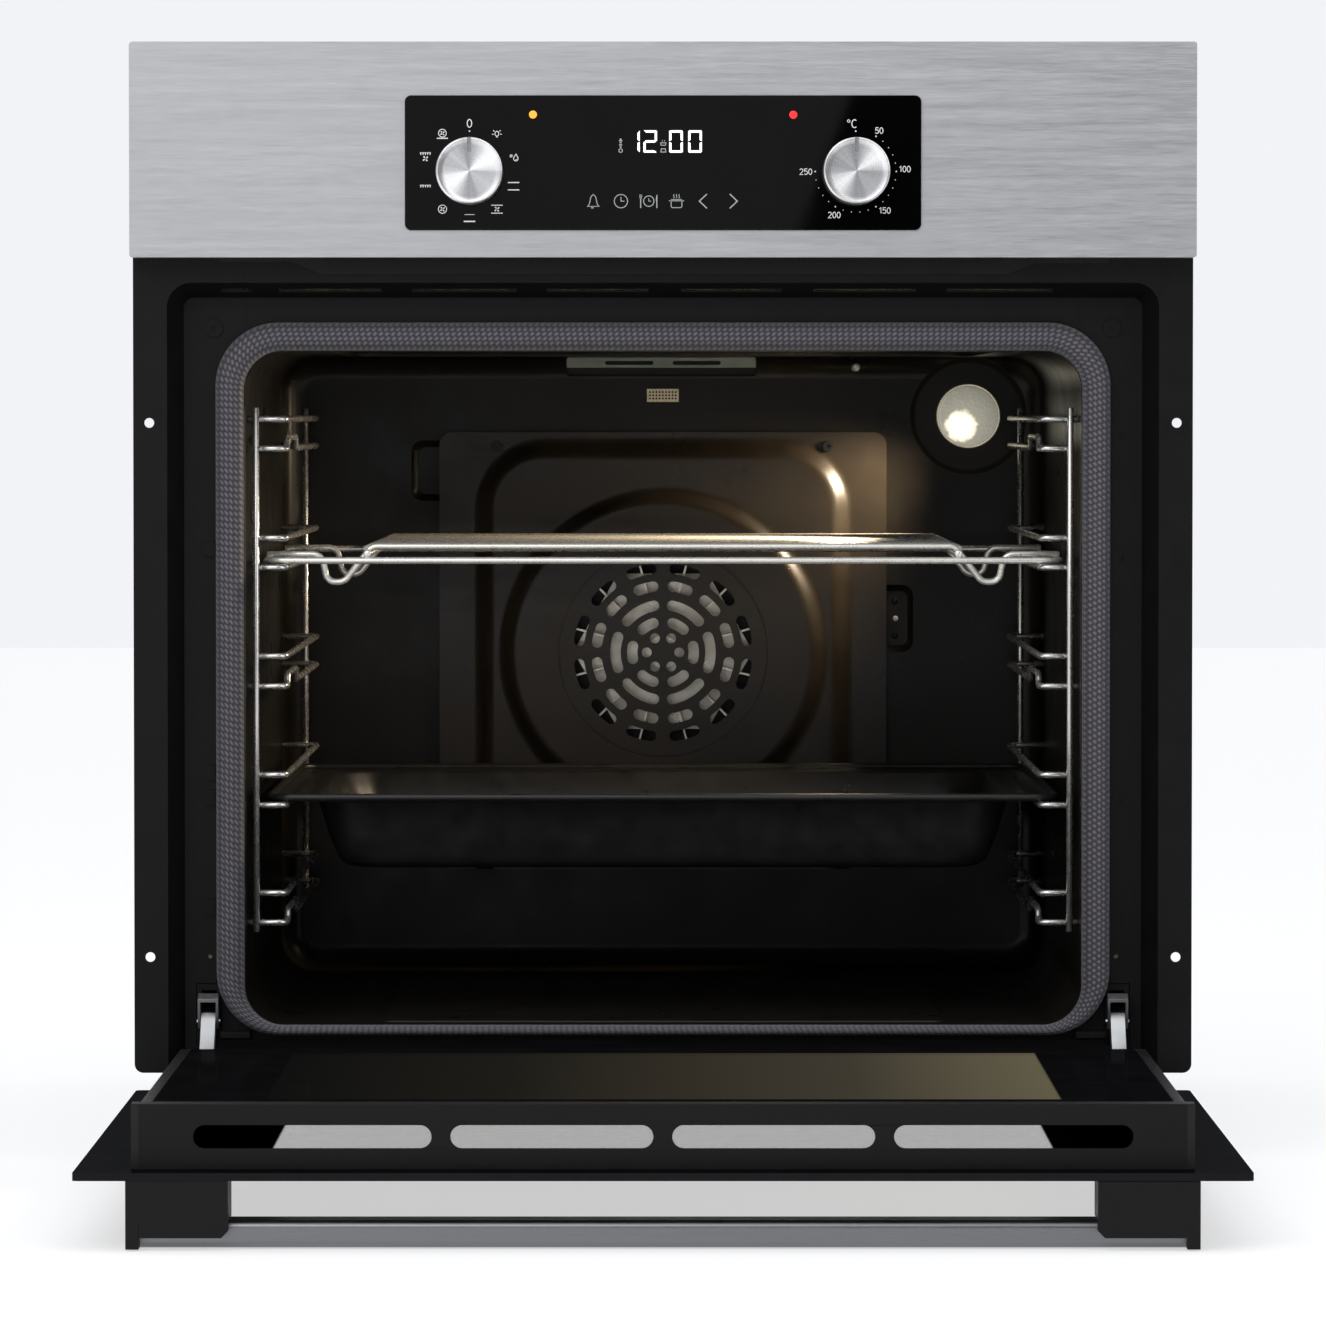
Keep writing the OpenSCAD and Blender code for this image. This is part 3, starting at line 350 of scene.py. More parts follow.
def emissive(name, glow, strength, base=(0.8, 0.8, 0.8)):
    mat, tree, bsdf, _ = new_material(name)
    grain = noise(tree, coords(tree), 500, 2)
    feed(tree, bsdf, {
        "Base Color": ramp(tree, grain, [(0.3, tint(base, 0.92)), (0.7, base)]),
        "Roughness": remap(tree, grain, 0.30, 0.40, 0.3, 0.7),
        "Emission Color": (*glow, 1),
        "Emission Strength": strength})
    return mat


def lens_mat():
    """Pressed lens over a lit bulb: a hot spot low on one side, pale glass round it."""
    mat, tree, bsdf, _ = new_material("lamp_pressed_glass")
    hot = point(185.2, 483, 380.2)
    place = node(tree, "TexCoord").outputs["Object"]
    offset = node(tree, "Mapping", {0: place, "Location": (-hot.x, -hot.y, -hot.z)}).outputs[0]
    distance = node(tree, "VectorMath", {0: offset}, operation="LENGTH").outputs["Value"]
    cloud = noise(tree, place, 260, 3)
    uneven = maths(tree, "MULTIPLY_ADD", cloud, 0.005, distance)
    glow = ramp(tree, remap(tree, uneven, 0.0, 1.0, 0.004, 0.034),
                [(0.0, (2.2, 2.0, 1.6)), (0.20, (1.5, 1.35, 1.0)), (0.30, (0.34, 0.325, 0.26)),
                 (0.62, (0.25, 0.24, 0.195)), (1.0, (0.13, 0.125, 0.10))])
    facets = node(tree, "TexVoronoi", {"Vector": place, "Scale": 420}).outputs[0]
    feed(tree, bsdf, {
        "Emission Color": glow,
        "Emission Strength": 1.0,
        "Base Color": ramp(tree, cloud, [(0.3, (0.10, 0.10, 0.09)), (0.7, (0.16, 0.155, 0.13))]),
        "Roughness": remap(tree, cloud, 0.08, 0.2, 0.3, 0.7),
        "Normal": bump(tree, facets, 0.35, 0.0006)})
    return mat


M["fascia"] = brushed("fascia_brushed_steel", (0.520, 0.525, 0.542), 0.40, 0.30, 0.10)
# painted shade: the handle is the fascia's brushed steel with its colour darkened to two fifths
M["handle"] = brushed("handle_brushed_steel", (0.205, 0.208, 0.217), 0.32, 0.25, 0.08)
M["cavity"] = enamel("cavity_enamel", (0.0092, 0.0078, 0.0058), 0.22)
# painted light: the fan cover is the same enamel as the liner, its colour made twice as bright and warmer to
# stand for the lamp's light on it
M["cover"] = enamel("fan_cover_enamel", (0.0185, 0.0146, 0.0104), 0.34)
M["knob"] = knob_metal("knob_turned_steel")
M["gasket"] = gasket_mat()
# painted reflection on the inner glass's window: a glow from dark at the left to warm and brighter at the right
PAINTED_REFLECTION = [(0.0, (0.006, 0.006, 0.006)), (0.3, (0.014, 0.013, 0.010)), (0.5, (0.033, 0.028, 0.020)),
        (0.75, (0.056, 0.048, 0.034)), (1.0, (0.135, 0.120, 0.073))]
M["glass_out"] = printed_glass("door_outer_glass", 0.2035, (0.99, 0.985, 0.97))
M["glass_in"] = printed_glass("door_inner_glass", 0.2050, (0.80, 0.82, 0.82), (0.75, PAINTED_REFLECTION))
M["panel"] = panel_glass_mat()
M["digits"] = emissive("display_segments", (0.95, 0.97, 1.0), 1.1)
M["orange"] = emissive("indicator_orange", (1.0, 0.33, 0.02), 0.9, (0.9, 0.30, 0.03))
M["red"] = emissive("indicator_red", (1.0, 0.01, 0.01), 0.8, (0.8, 0.02, 0.02))
M["bulb"] = emissive("lamp_glow", (1.0, 0.90, 0.72), 1.0, (1.0, 0.9, 0.7))
M["lens"] = lens_mat()


# ---------------------------------------------------------------- mesh helpers
def new_object(name, verts, faces, uvs=None):
    """A linked object with outward normals; uvs holds one (u, v) per face corner."""
    mesh = bpy.data.meshes.new(name)
    mesh.from_pydata([tuple(v) for v in verts], [], faces)
    if uvs is not None:
        mesh.uv_layers.new(name="UVMap").data.foreach_set("uv", np.asarray(uvs, dtype=float).ravel())
    loose = bmesh.new()
    loose.from_mesh(mesh)
    bmesh.ops.recalc_face_normals(loose, faces=loose.faces)
    loose.to_mesh(mesh)
    loose.free()
    made = bpy.data.objects.new(name, mesh)
    SCENE.collection.objects.link(made)
    return made


def smooth_shading(made, sharp_angle=None):
    made.data.polygons.foreach_set("use_smooth", [True] * len(made.data.polygons))
    if sharp_angle is not None:
        made.data.set_sharp_from_angle(angle=math.radians(sharp_angle))


def one_material(made, mat):
    made.data.materials.clear()
    made.data.materials.append(mat)
    made.data.polygons.foreach_set("material_index", [0] * len(made.data.polygons))


def add_piece(name, verts, faces, mat, body, smooth=True, angle=35):
    """An object with its material that rides on a body."""
    made = new_object(name, verts, faces)
    made.data.materials.append(mat)
    if smooth:
        smooth_shading(made, angle)
    if body:
        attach(made, body)
    return made


def bevel(made, width, segments=2, angle=30):
    """Rounds the edges by a width in millimetres."""
    edge = made.modifiers.new("bevel", "BEVEL")
    edge.width = width / 1000
    edge.segments = segments
    edge.limit_method = "ANGLE"
    edge.angle_limit = math.radians(angle)
    edge.harden_normals = False


def even_normals(made, name):
    even = made.modifiers.new(name, "WEIGHTED_NORMAL")
    even.keep_sharp = True
    return even


def dress_node(name, mat, width):
    """Gives a CAD node its material and small worn edges."""
    made = NODES[name]
    one_material(made, mat)
    weld = made.modifiers.new("weld", "WELD")
    weld.merge_threshold = 1e-5
    if width:
        bevel(made, width, 2 if width < 0.6 else 3)
    smooth_shading(made)
    split = made.modifiers.new("edges", "EDGE_SPLIT")
    split.split_angle = math.radians(38)
    even_normals(made, "normals").weight = 100


def loft(rings, caps=False, loop=False):
    """Joins equal rings of points into quads; loop joins the last ring to the first."""
    count = len(rings[0])
    verts = [p for ring in rings for p in ring]
    faces = []
    for i in range(len(rings) if loop else len(rings) - 1):
        here, there = i * count, (i + 1) % len(rings) * count
        for j in range(count):
            k = (j + 1) % count
            faces.append((here + j, here + k, there + k, there + j))
    if caps:
        last = (len(rings) - 1) * count
        faces.append(tuple(range(count))[::-1])
        faces.append(tuple(last + j for j in range(count)))
    return verts, faces


def joined(parts):
    """Several (vertices, faces) pairs as one."""
    verts, faces = [], []
    for part_verts, part_faces in parts:
        shift = len(verts)
        verts += part_verts
        faces += [tuple(i + shift for i in face) for face in part_faces]
    return verts, faces


def fillet(points, radius, steps=7, closed=False):
    """Rounds the corners of a line of points."""
    count = len(points)
    out = []
    for i, corner in enumerate(points):
        if not closed and i in (0, count - 1):
            out.append(corner)
            continue
        back, on = points[i - 1] - corner, points[(i + 1) % count] - corner
        back_length, on_length = back.length, on.length
        back.normalize()
        on.normalize()
        angle = math.acos(max(-1, min(1, back.dot(on))))
        if angle > math.radians(178):
            out.append(corner)
            continue
        reach = min(radius / math.tan(angle / 2), back_length * 0.49, on_length * 0.49)
        bend = reach * math.tan(angle / 2)
        centre = corner + (back + on).normalized() * (bend / math.sin(angle / 2))
        start = (corner + back * reach - centre).normalized()
        end = (corner + on * reach - centre).normalized()
        out += [centre + start.slerp(end, k / steps) * bend for k in range(steps + 1)]
    return out


def tube(points, radius, sides, closed=False):
    """Vertices and faces of a round wire along points in metres."""
    path = [points[0]]
    for p in points[1:]:
        if (p - path[-1]).length > 1e-7:
            path.append(p)
    count = len(path)
    rings = []
    normal = None
    for i, p in enumerate(path):
        if closed:
            along = (path[(i + 1) % count] - path[i - 1]).normalized()
        else:
            along = (path[min(i + 1, count - 1)] - path[max(i - 1, 0)]).normalized()
        if normal is None:
            other = Vector((0, 0, 1)) if abs(along.z) < 0.9 else Vector((1, 0, 0))
            normal = along.cross(other).normalized()
        else:
            normal = (normal - along * normal.dot(along)).normalized()
        across = along.cross(normal)
        turns = [2 * math.pi * k / sides for k in range(sides)]
        rings.append([p + (normal * math.cos(a) + across * math.sin(a)) * radius for a in turns])
    if closed:
        return loft(rings + [rings[0]])
    # slightly rounded ends
    first_tip = [path[0] + (p - path[0]) * 0.72 for p in rings[0]]
    last_tip = [path[-1] + (p - path[-1]) * 0.72 for p in rings[-1]]
    first_step = (path[1] - path[0]).normalized() * radius * 0.25
    last_step = (path[-1] - path[-2]).normalized() * radius * 0.25
    first = [p + first_step for p in rings[0]]
    last = [p - last_step for p in rings[-1]]
    return loft([first_tip, first] + rings[1:-1] + [last, last_tip], caps=True)


def add_wires(name, lines, mat, body):
    """One object from many wires: each (places in mm, radius, bend radius, closed)."""
    parts = []
    for places, radius, bend, closed in lines:
        path = [point(*p) for p in places]
        if bend:
            path = fillet(path, bend / 1000, closed=closed)
        parts.append(tube(path, radius / 1000, 12, closed))
    return add_piece(name, *joined(parts), mat, body, angle=60)


def round_rect(half_a, half_b, radius, steps, per):
    """Rounded rectangle about the origin: steps per corner and per pieces per straight side."""
    a, b = half_a - radius, half_b - radius
    out = []
    for ca, cb, turn, end in ((a, b, 0, (-a, half_b)), (-a, b, 90, (-half_a, -b)),
                              (-a, -b, 180, (a, -half_b)), (a, -b, 270, (half_a, b))):
        out += arc(ca, cb, radius, turn, turn + 90, steps)
        start = out[-1]
        for k in range(1, per):
            out.append((start[0] + (end[0] - start[0]) * k / per, start[1] + (end[1] - start[1]) * k / per))
    return out


def polar(radius, degrees):
    return radius * math.cos(math.radians(degrees)), radius * math.sin(math.radians(degrees))


def arc(cx, cz, radius, start, end, steps=14, radius_z=None):
    """Points along an arc, angles in degrees; radius_z makes it oval."""
    tall = radius_z or radius
    turns = [math.radians(start + (end - start) * k / steps) for k in range(steps + 1)]
    return [(cx + radius * math.cos(a), cz + tall * math.sin(a)) for a in turns]


def upright_ring(half_x, half_z, radius, t, x, z, steps=8, per=4):
    return [point(x + a, t, z + b) for a, b in round_rect(half_x, half_z, radius, steps, per)]


def level_ring(half_x, half_t, radius, z, t, steps=8, per=6):
    return [point(a, t + b, z) for a, b in round_rect(half_x, half_t, radius, steps, per)]


def lathe(x, z, profile, sides=64):
    """Rings about an axis along Y; the profile is [(radius, t), ...]."""
    return [[point(x + a, t, z + b) for a, b in arc(0, 0, radius, 0, 360, sides)[:-1]] for radius, t in profile]


def level_disc(x, t, radius, low, high, sides=20):
    ring = arc(x, t, radius, 0, 360, sides)[:-1]
    return [[point(a, b, z) for a, b in ring] for z in (low, high)]


def solid(rings, name="tool"):
    return new_object(name, *loft(rings, caps=True))


def remove(made):
    mesh = made.data
    bpy.data.objects.remove(made)
    bpy.data.meshes.remove(mesh)


def boolean(made, tools, operation):
    """Cuts or joins the tools in turn, keeps the result as the mesh and removes the tools."""
    for tool in tools:
        step = made.modifiers.new("boolean", "BOOLEAN")
        step.operation = operation
        step.solver = "EXACT"
        step.object = tool
    graph = bpy.context.evaluated_depsgraph_get()
    mesh = bpy.data.meshes.new_from_object(made.evaluated_get(graph))
    made.modifiers.clear()
    old = made.data
    made.data = mesh
    bpy.data.meshes.remove(old)
    for tool in tools:
        remove(tool)


# ---------------------------------------------------------------- CAD nodes that are shown
USUAL_EDGE = 0.25
EDGE = {"outer_glass": 0.5, "inner_glass": 0.4, "panel_glass": 0.5, "handle_bar": 0.5, "door_trim_top": 0.4,
        "handle_bracket_left": 0.6, "handle_bracket_right": 0.6, "fan_cover": 0.45, "fascia": 0.35,
        "air_outlet_lip": 0.3, "front_frame": 0.4, "door_bottom_trim": 0.4, "cavity_insulation": 1.2,
        "rack_left": 0, "rack_right": 0, "grid_shelf": 0, "steam_mesh": 0, "blower_wheel": 0.1,
        "convection_fan": 0.2, "lamp_bulb": 0, "ring_element": 0, "grill_element": 0, "bottom_element": 0,
        "indicator_lamps": 0.1}
LOOKS = {
    "galv": "base_plate side_panel_left side_panel_right rear_panel top_cover duct_plate",
    "frame": "front_frame hinge_channel_left hinge_channel_right hinge_receivers",
    "lip": "air_outlet_lip",
    "cavity": "cavity",
    "wool": "cavity_insulation",
    "gasket": "door_gasket",
    "cover": "fan_cover",
    "dark_screw": "fan_cover_screws",
    "heater": "ring_element grill_element bottom_element",
    "motor": "fan_motor blower_motor",
    "ceramic": "lamp_housing",
    "bulb": "lamp_bulb",
    "lens": "lamp_lens",
    "vent": "vent_plate",
    "mesh": "steam_mesh",
    "probe": "temperature_probe",
    "wire": "rack_left rack_right grid_shelf",
    "rubber": "frame_plugs frame_rivets hinge_bumpers",
    "zinc": "hinge_arm_left hinge_arm_right blower_housing",
    "latch": "hinge_latch_left hinge_latch_right",
    "fascia": "fascia",
    "panel": "panel_glass",
    "carrier": "panel_carrier",
    "pcb": "display_board",
    "switch": "function_switch thermostat_switch",
    "orange": "indicator_lamps",
    "white": "terminal_block",
    "glass_out": "outer_glass",
    "glass_in": "inner_glass",
    "trim": "door_trim_top door_bottom_trim handle_bracket_left handle_bracket_right",
    "coated": "door_profile_left door_profile_right",
    "handle": "handle_bar",
    "knob": "function_knob temperature_knob",
    "fan": "convection_fan blower_wheel",
    "tray": "deep_tray",
}
for look, names in LOOKS.items():
    for name in names.split():
        dress_node(name, M[look], EDGE.get(name, USUAL_EDGE))

# ---------------------------------------------------------------- cavity liner
MOUTH_Z = 233.0              # middle height of the cavity's opening
FAN_Z = 239.6                # height of the fan's axis
LAMP_X, LAMP_Z = 190.3, 386.3
DOME_T = 255                 # middle depth of the grill's ceiling dome
# recesses in the rear wall: x, z, half width and half height outside
LEFT_NICHE = (-138, 352.3, 19.6, 19.8)
RIGHT_NICHE = (137, 260.2, 19.8, 22)


def upright_solid(x, z, steps):
    return solid([upright_ring(half_x, half_z, r, t, x, z) for half_x, half_z, r, t in steps])


def dome_solid(steps):
    return solid([level_ring(half_x, half_t, r, z, DOME_T) for half_x, half_t, r, z in steps])


def mouth_ring(grow, t, radius):
    """A ring of the liner's walls, grown outwards by some millimetres."""
    return upright_ring(236.0 + grow, 190.0 + grow, radius, t, 0, MOUTH_Z, 12, 10)


def build_cavity():
    """The enamelled liner: flange, walls, rounded back corner, dishes, recesses and ceiling dome."""
    radius, bend, wall_end = 22.0, 14, 476
    inside = [mouth_ring(0, t, radius) for t in (45.0, 60, 160, 270, 380)]
    outside = [mouth_ring(1, 46.0, radius + 1)]
    for angle in range(0, 91, 15):
        reach, depth = polar(bend, angle)
        shrink, t = bend - reach, wall_end + depth
        inside.append(mouth_ring(-shrink, t, max(radius - shrink, 8)))
        outside.append(mouth_ring(1 - shrink, t + 1, max(radius + 1 - shrink, 9)))
    liner = solid(outside, "cavity_liner")
    niches_out, niches_in = [], []
    for x, z, half_x, half_z in (LEFT_NICHE, RIGHT_NICHE):
        niches_out.append(upright_solid(x, z, [(half_x, half_z, 8, t) for t in (489, 494.2)]))
        niches_in.append(upright_solid(x, z, [(half_x - k, half_z - k, r, t) for k, r, t in (
            (1, 7, 480), (1, 7, 490.1), (2.2, 6.2, 491.4), (4.6, 5, 492.6), (5.6, 4.6, 493.0))]))
    boolean(liner, [
        solid([upright_ring(248, 202, 34, t, 0, MOUTH_Z) for t in (46, 47)]),
        dome_solid([(191, 175, 22, 421.5), (191, 175, 22, 431), (184, 168, 18, 442)]),
        solid(lathe(0, FAN_Z, [(99, 480), (99, 503)])),
        upright_solid(-1, 417, [(60, 7, 3, t) for t in (485, 498)]),
        solid(lathe(LAMP_X, LAMP_Z, [(37, 485), (37, 491), (34.5, 496)]))] + niches_out, "UNION")
    cuts = [
        solid(inside),
        dome_solid([(190, 174, 21, 420), (190, 174, 21, 423.4), (189, 173, 20, 427),
                    (182, 166, 17, 439), (178, 162, 15, 441)]),
        solid(lathe(0, FAN_Z, [(98, 479), (98, 500), (96, 502)])),
        upright_solid(-1, 417, [(59, 6, 2, t) for t in (479, 497)]),
        solid(lathe(LAMP_X, LAMP_Z, [(36.6, 480), (36.6, 489.9), (35.6, 491.2), (34.0, 494.0), (32.6, 495)])),
        solid(lathe(LAMP_X, LAMP_Z, [(20, 490), (20, 500)])),
        solid(lathe(0, FAN_Z, [(6, 498), (6, 510)], 32)),
        solid(lathe(119.5, 416.5, [(2.6, 495), (2.6, 510)], 24))] + niches_in
    cuts += [solid(lathe(x, 432, [(3.3, 424), (3.3, 436)], 24)) for x in (-60, 60)]
    boolean(liner, cuts, "DIFFERENCE")
    floor_field = [level_ring(160 - k, 153.5 - k, 6, z, 213.5)
                   for k, z in ((0, 42.5), (0, 43.0), (0.4, 43.6), (1.6, 44.1), (3.2, 44.3))]
    boolean(liner, [solid(floor_field)], "UNION")
    one_material(liner, M["cavity"])
    smooth_shading(liner, 28)
    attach(liner, "chassis")
    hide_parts("cavity")
    even_normals(liner, "even")


build_cavity()


# ---------------------------------------------------------------- fan cover
def ease(share):
    share = min(1.0, max(0.0, share))
    return share * share * (3 - 2 * share)


def cover_depth(x, z):
    """The front of the cover: a flat disc stands out of an arch, and the arch out of the rim."""
    arch_half, arch_top, corner, disc = 105, 360, 31, 92
    qx, qz = abs(x) - (arch_half - corner), z - (arch_top - corner)
    outside = math.hypot(max(qx, 0), max(qz, 0)) + min(max(qx, qz), 0) - corner
    arch_t = 476.5 + 6.5 * ease(outside / 12)
    return 471 + (arch_t - 471) * ease((math.hypot(x, z - FAN_Z) - disc) / 10)


def slot_tool(radius, start, end):
    """A slot along an arc round the fan's axis, with round ends."""
    width, steps = 6.5, 8
    outline = arc(0, 0, radius + width / 2, start, end, steps)
    outline += arc(*polar(radius, end), width / 2, end + 20, end + 160, 7)
    outline += arc(0, 0, radius - width / 2, end, start, steps)
    outline += arc(*polar(radius, start), width / 2, start + 200, start + 340, 7)
    return [[point(x, t, FAN_Z + z) for x, z in outline] for t in (466, 476)]


def build_cover():
    """The pressed fan cover: arch and disc rise smoothly from the rim; slots are cut through."""
    middle_z, half_x, half_z = 240.4, 139.0, 135.9
    step, margin = 2.0, 3
    across, up = int(2 * (half_x + margin) / step) + 1, int(2 * (half_z + margin) / step) + 1
    xs = [-half_x - margin + i * step for i in range(across)]
    rows = []
    for j in range(up):
        z = middle_z - half_z - margin + j * step
        front = [point(x, cover_depth(x, z), z) for x in xs]
        rows.append(front + [point(x, cover_depth(x, z) + 1, z) for x in xs[::-1]])
    cover = new_object("fan_cover_pressing", *loft(rows, caps=True))
    boolean(cover, [solid([upright_ring(half_x, half_z, 8, t, 0, middle_z, 10, 2) for t in (465, 486)])],
            "INTERSECT")
    tools = []
    for k in range(6):
        x, z = polar(10.1, 60 * k)
        tools.append(lathe(x, FAN_Z + z, [(3.1, 466), (3.1, 476)], 20))
        tools.append(slot_tool(19.1, 60 * k - 12, 60 * k + 12))
        tools.append(slot_tool(29.5, 60 * k - 19, 60 * k + 19))
    for k in range(12):
        tools.append(slot_tool(41.3, 30 * k + 8.5, 30 * k + 21.5))
        tools.append(slot_tool(52.4, 30 * k + 8, 30 * k + 22))
    tools += [lathe(x, 367.6, [(2.05, 466), (2.05, 490)], 20) for x in (-103, 103)]
    groove = loft(lathe(0, FAN_Z, [(64.0, 470), (65.6, 470), (65.3, 471.45), (64.3, 471.45)], 96), loop=True)
    cut = new_object("cut", *joined([loft(rings, caps=True) for rings in tools] + [groove]))
    boolean(cover, [cut], "DIFFERENCE")
    one_material(cover, M["cover"])
    smooth_shading(cover, 40)
    even_normals(cover, "even")
    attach(cover, "chassis")
    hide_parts("fan_cover")


build_cover()

# a bright pin between two pressed stops in the right recess
for name, x, z, radius, tip, look, slot in (
        ("niche_pin", 144.9, 260.1, 1.75, 491.0, "probe", "probe_white"),
        ("niche_stop_top", 144.4, 270.9, 1.9, 492.0, "cavity", "cavity_enamel"),
        ("niche_stop_bottom", 144.4, 249.4, 1.9, 492.0, "cavity", "cavity_enamel")):
    foot = 493.6 if look == "probe" else 493.5
    profile = [(0.3 * radius, tip), (0.75 * radius, tip + 0.15), (radius, tip + 0.6), (radius, foot)]
    rings = lathe(x, z, profile, 24)
    add_piece(name, *loft(rings, caps=True), M[look], "chassis", angle=60)


# ---------------------------------------------------------------- oven seal
def build_gasket():
    """The braided seal: a rounded section swept round the mouth, with UVs in metres."""
    back_t, height, steps = 45.0, 11.4, 30
    shares = [k / steps for k in range(steps + 1)]
    profile = [(s, back_t - height * (1 - abs(2 * s - 1) ** 2.8) ** 0.52) for s in shares]
    profile += [(0.72, back_t), (0.28, back_t)]
    rings = []
    for s, t in profile:
        low, high = 42.7 - 5.7 * s, 423.3 + 16.0 * s
        half_x, half_z, radius = 236.3 + 16.0 * s, (high - low) / 2, 22.3 + 13.4 * s
        rings.append(upright_ring(half_x, half_z, radius, t, 0, (high + low) / 2, 14, 16))
    verts, faces = loft(rings, loop=True)
    count = len(rings[0])
    middle = rings[steps // 2]
    along = [0.0]
    for j in range(count):
        along.append(along[-1] + (middle[(j + 1) % count] - middle[j]).length)
    # two whole stitches fit the seal's length, so that the weave meets itself
    two_stitches = 0.0068
    fit = round(along[-1] / two_stitches) * two_stitches / along[-1]
    along = [u * fit for u in along]
    across = [0.0]
    for _ in rings:
        across.append(across[-1] + 0.0165 / steps)
    uvs = []
    for i in range(len(rings)):
        for j in range(count):
            uvs += [(along[j], across[i]), (along[j + 1], across[i]),
                    (along[j + 1], across[i + 1]), (along[j], across[i + 1])]
    seal = new_object("door_gasket_braid", verts, faces, uvs)
    seal.data.materials.append(M["gasket"])
    smooth_shading(seal)
    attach(seal, "chassis")
    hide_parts("door_gasket")


build_gasket()

# ---------------------------------------------------------------- wire racks and grid shelf
RACK_LOW = [98.6, 165.4, 233, 300.5, 368]
RACK_HIGH = [115.4, 182.6, 250.1, 317.3, 384.8]
WIRE = 1.9                   # wire radius


def build_rack(s, side):
    """Two uprights and five pairs of rails; some rails are pinned to the wall or have a hump."""
    lines = [([(s * 231, 70.6, 93.4), (s * 231, 70.6, 391.5)], WIRE, 0, False),
             ([(s * 221.3, 459.4, 94), (s * 221.3, 459.4, 391.5)], WIRE, 0, False)]
    rail = s * 214.4
    for k in range(5):
        for z, pinned, hump in ((RACK_HIGH[k], k == 4, False), (RACK_LOW[k], k in (0, 2), k in (0, 2, 4))):
            front = s * (236 if pinned else 232.8)
            path = [(front, 73.8, z), (rail, 73.8, z), (rail, 456.2, z), (s * 236, 456.2, z)]
            if hump:
                path[2:2] = [(rail, 90, z), (rail, 94, z + 6.5), (rail, 188, z + 6.5), (rail, 192, z)]
            lines.append((path, WIRE, 5, False))
    rack = add_wires("rack_wires_" + side, lines, M["rack_wire"], "chassis")
    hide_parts("rack_" + side)


build_rack(-1, "left")
build_rack(1, "right")


def build_shelf():
    """Wire shelf: frame, two carriers from front to back, hanging loops and the cross wires on top."""
    half, z, first, pitch = 226.05, 304.4, 92, 17.3
    back_loop = 12               # this cross wire's place is taken by the second loop
    top = z + 7.8
    lines = [([(-half, 79, z), (half, 79, z), (half, 448, z), (-half, 448, z)], 1.95, 10, True)]
    for x in (-168, 168):
        lines.append(([(x, 77.8, z + 3.9), (x, 449.2, z + 3.9)], 2.2, 0, False))
    for t in (first, first + pitch * back_loop):
        arm = [(-half, t, z + 3.3), (-194.5, t, z + 3.3), (-191.5, t, z - 12.4),
               (-182, t, z - 12.4), (-166, t, top)]
        lines.append((arm + [(-a, b, c) for a, b, c in arm[::-1]], WIRE, 6.5, False))
    for k in range(1, 21):
        if k != back_loop:
            t = first + pitch * k
            path = [(-171.5, t, z + 5.6), (-166, t, top), (166, t, top), (171.5, t, z + 5.6)]
            lines.append((path, WIRE, 3, False))
    shelf = add_wires("grid_shelf_wires", lines, M["wire"], "shelf")
    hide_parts("grid_shelf")


build_shelf()


# ---------------------------------------------------------------- deep tray
def build_tray():
    """The enamelled tray: rolled rim, flange with two rows of holes, well with rounded corners."""
    flange_z, half_x, half_t, sheet = 167.35, 226.0, 187.5, 1.15
    well_z = flange_z + 1.2 - 40
    under = [
        (half_x - 2.1, half_t - 2.1, 13, flange_z + 0.02), (half_x - 6.5, half_t - 6.5, 10, flange_z + 0.02),
        (201.5, 175.5, 28, flange_z + 0.02), (198.4, 172.6, 26.6, flange_z - 0.6),
        (197.6, 172.0, 26, flange_z - 1.6), (191.7, 166.8, 25.2, well_z + 17.6),
        (187.6, 162.8, 25.2, well_z + 7.0), (185.4, 160.6, 24.4, well_z + 2.8),
        (181.8, 156.8, 22.5, well_z + 0.2), (177.0, 152.0, 20, well_z - sheet + 0.35),
        (170.0, 145.0, 18, well_z - sheet + 0.1)]
    rim = []
    for degrees in range(-90, 181, 18):
        # outside of the rolled rim, over its crest, down to the flange
        out, rise = polar(2.1, degrees)[0] - 2.1, polar(2.2, degrees)[1]
        rim.append((half_x + out, half_t + out, 15 + out, flange_z + 2.25 + rise))
    above = rim + [
        (half_x - 4.6, half_t - 4.6, 11, flange_z + 1.9), (half_x - 6.2, half_t - 6.2, 10, flange_z + 1.25),
        (200.5, 174.5, 27, flange_z + 1.2), (198.0, 172.2, 25.5, flange_z + 0.7),
        (196.6, 171.0, 25, flange_z - 1.0), (190.5, 165.6, 24, well_z + 18),
        (186.4, 161.6, 24, well_z + 7.4), (184.6, 159.8, 23.5, well_z + 3.6),
        (181.6, 156.6, 22, well_z + 1.2), (177.0, 152.0, 20, well_z + 0.3), (170.0, 145.0, 18, well_z)]
    rings = [level_ring(a, b, r, z, 262.5, 10, 6) for a, b, r, z in under[::-1] + above]
    tray = add_piece("deep_tray_pan", *loft(rings, caps=True), M["tray"], None, angle=50)
    holes = []
    for s in (-1, 1):
        for t in range(110, 421, 24):
            for x, shift in ((208, 0), (214, 12)):
                holes.append(loft(level_disc(s * x, t + shift, 2.4, flange_z - 3, flange_z + 3), caps=True))
    boolean(tray, [new_object("holes", *joined(holes))], "DIFFERENCE")
    smooth_shading(tray, 50)
    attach(tray, "tray")
    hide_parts("deep_tray")


build_tray()

# ---------------------------------------------------------------- knobs
DIAL_X, DIAL_Z = 107.4, 522.5
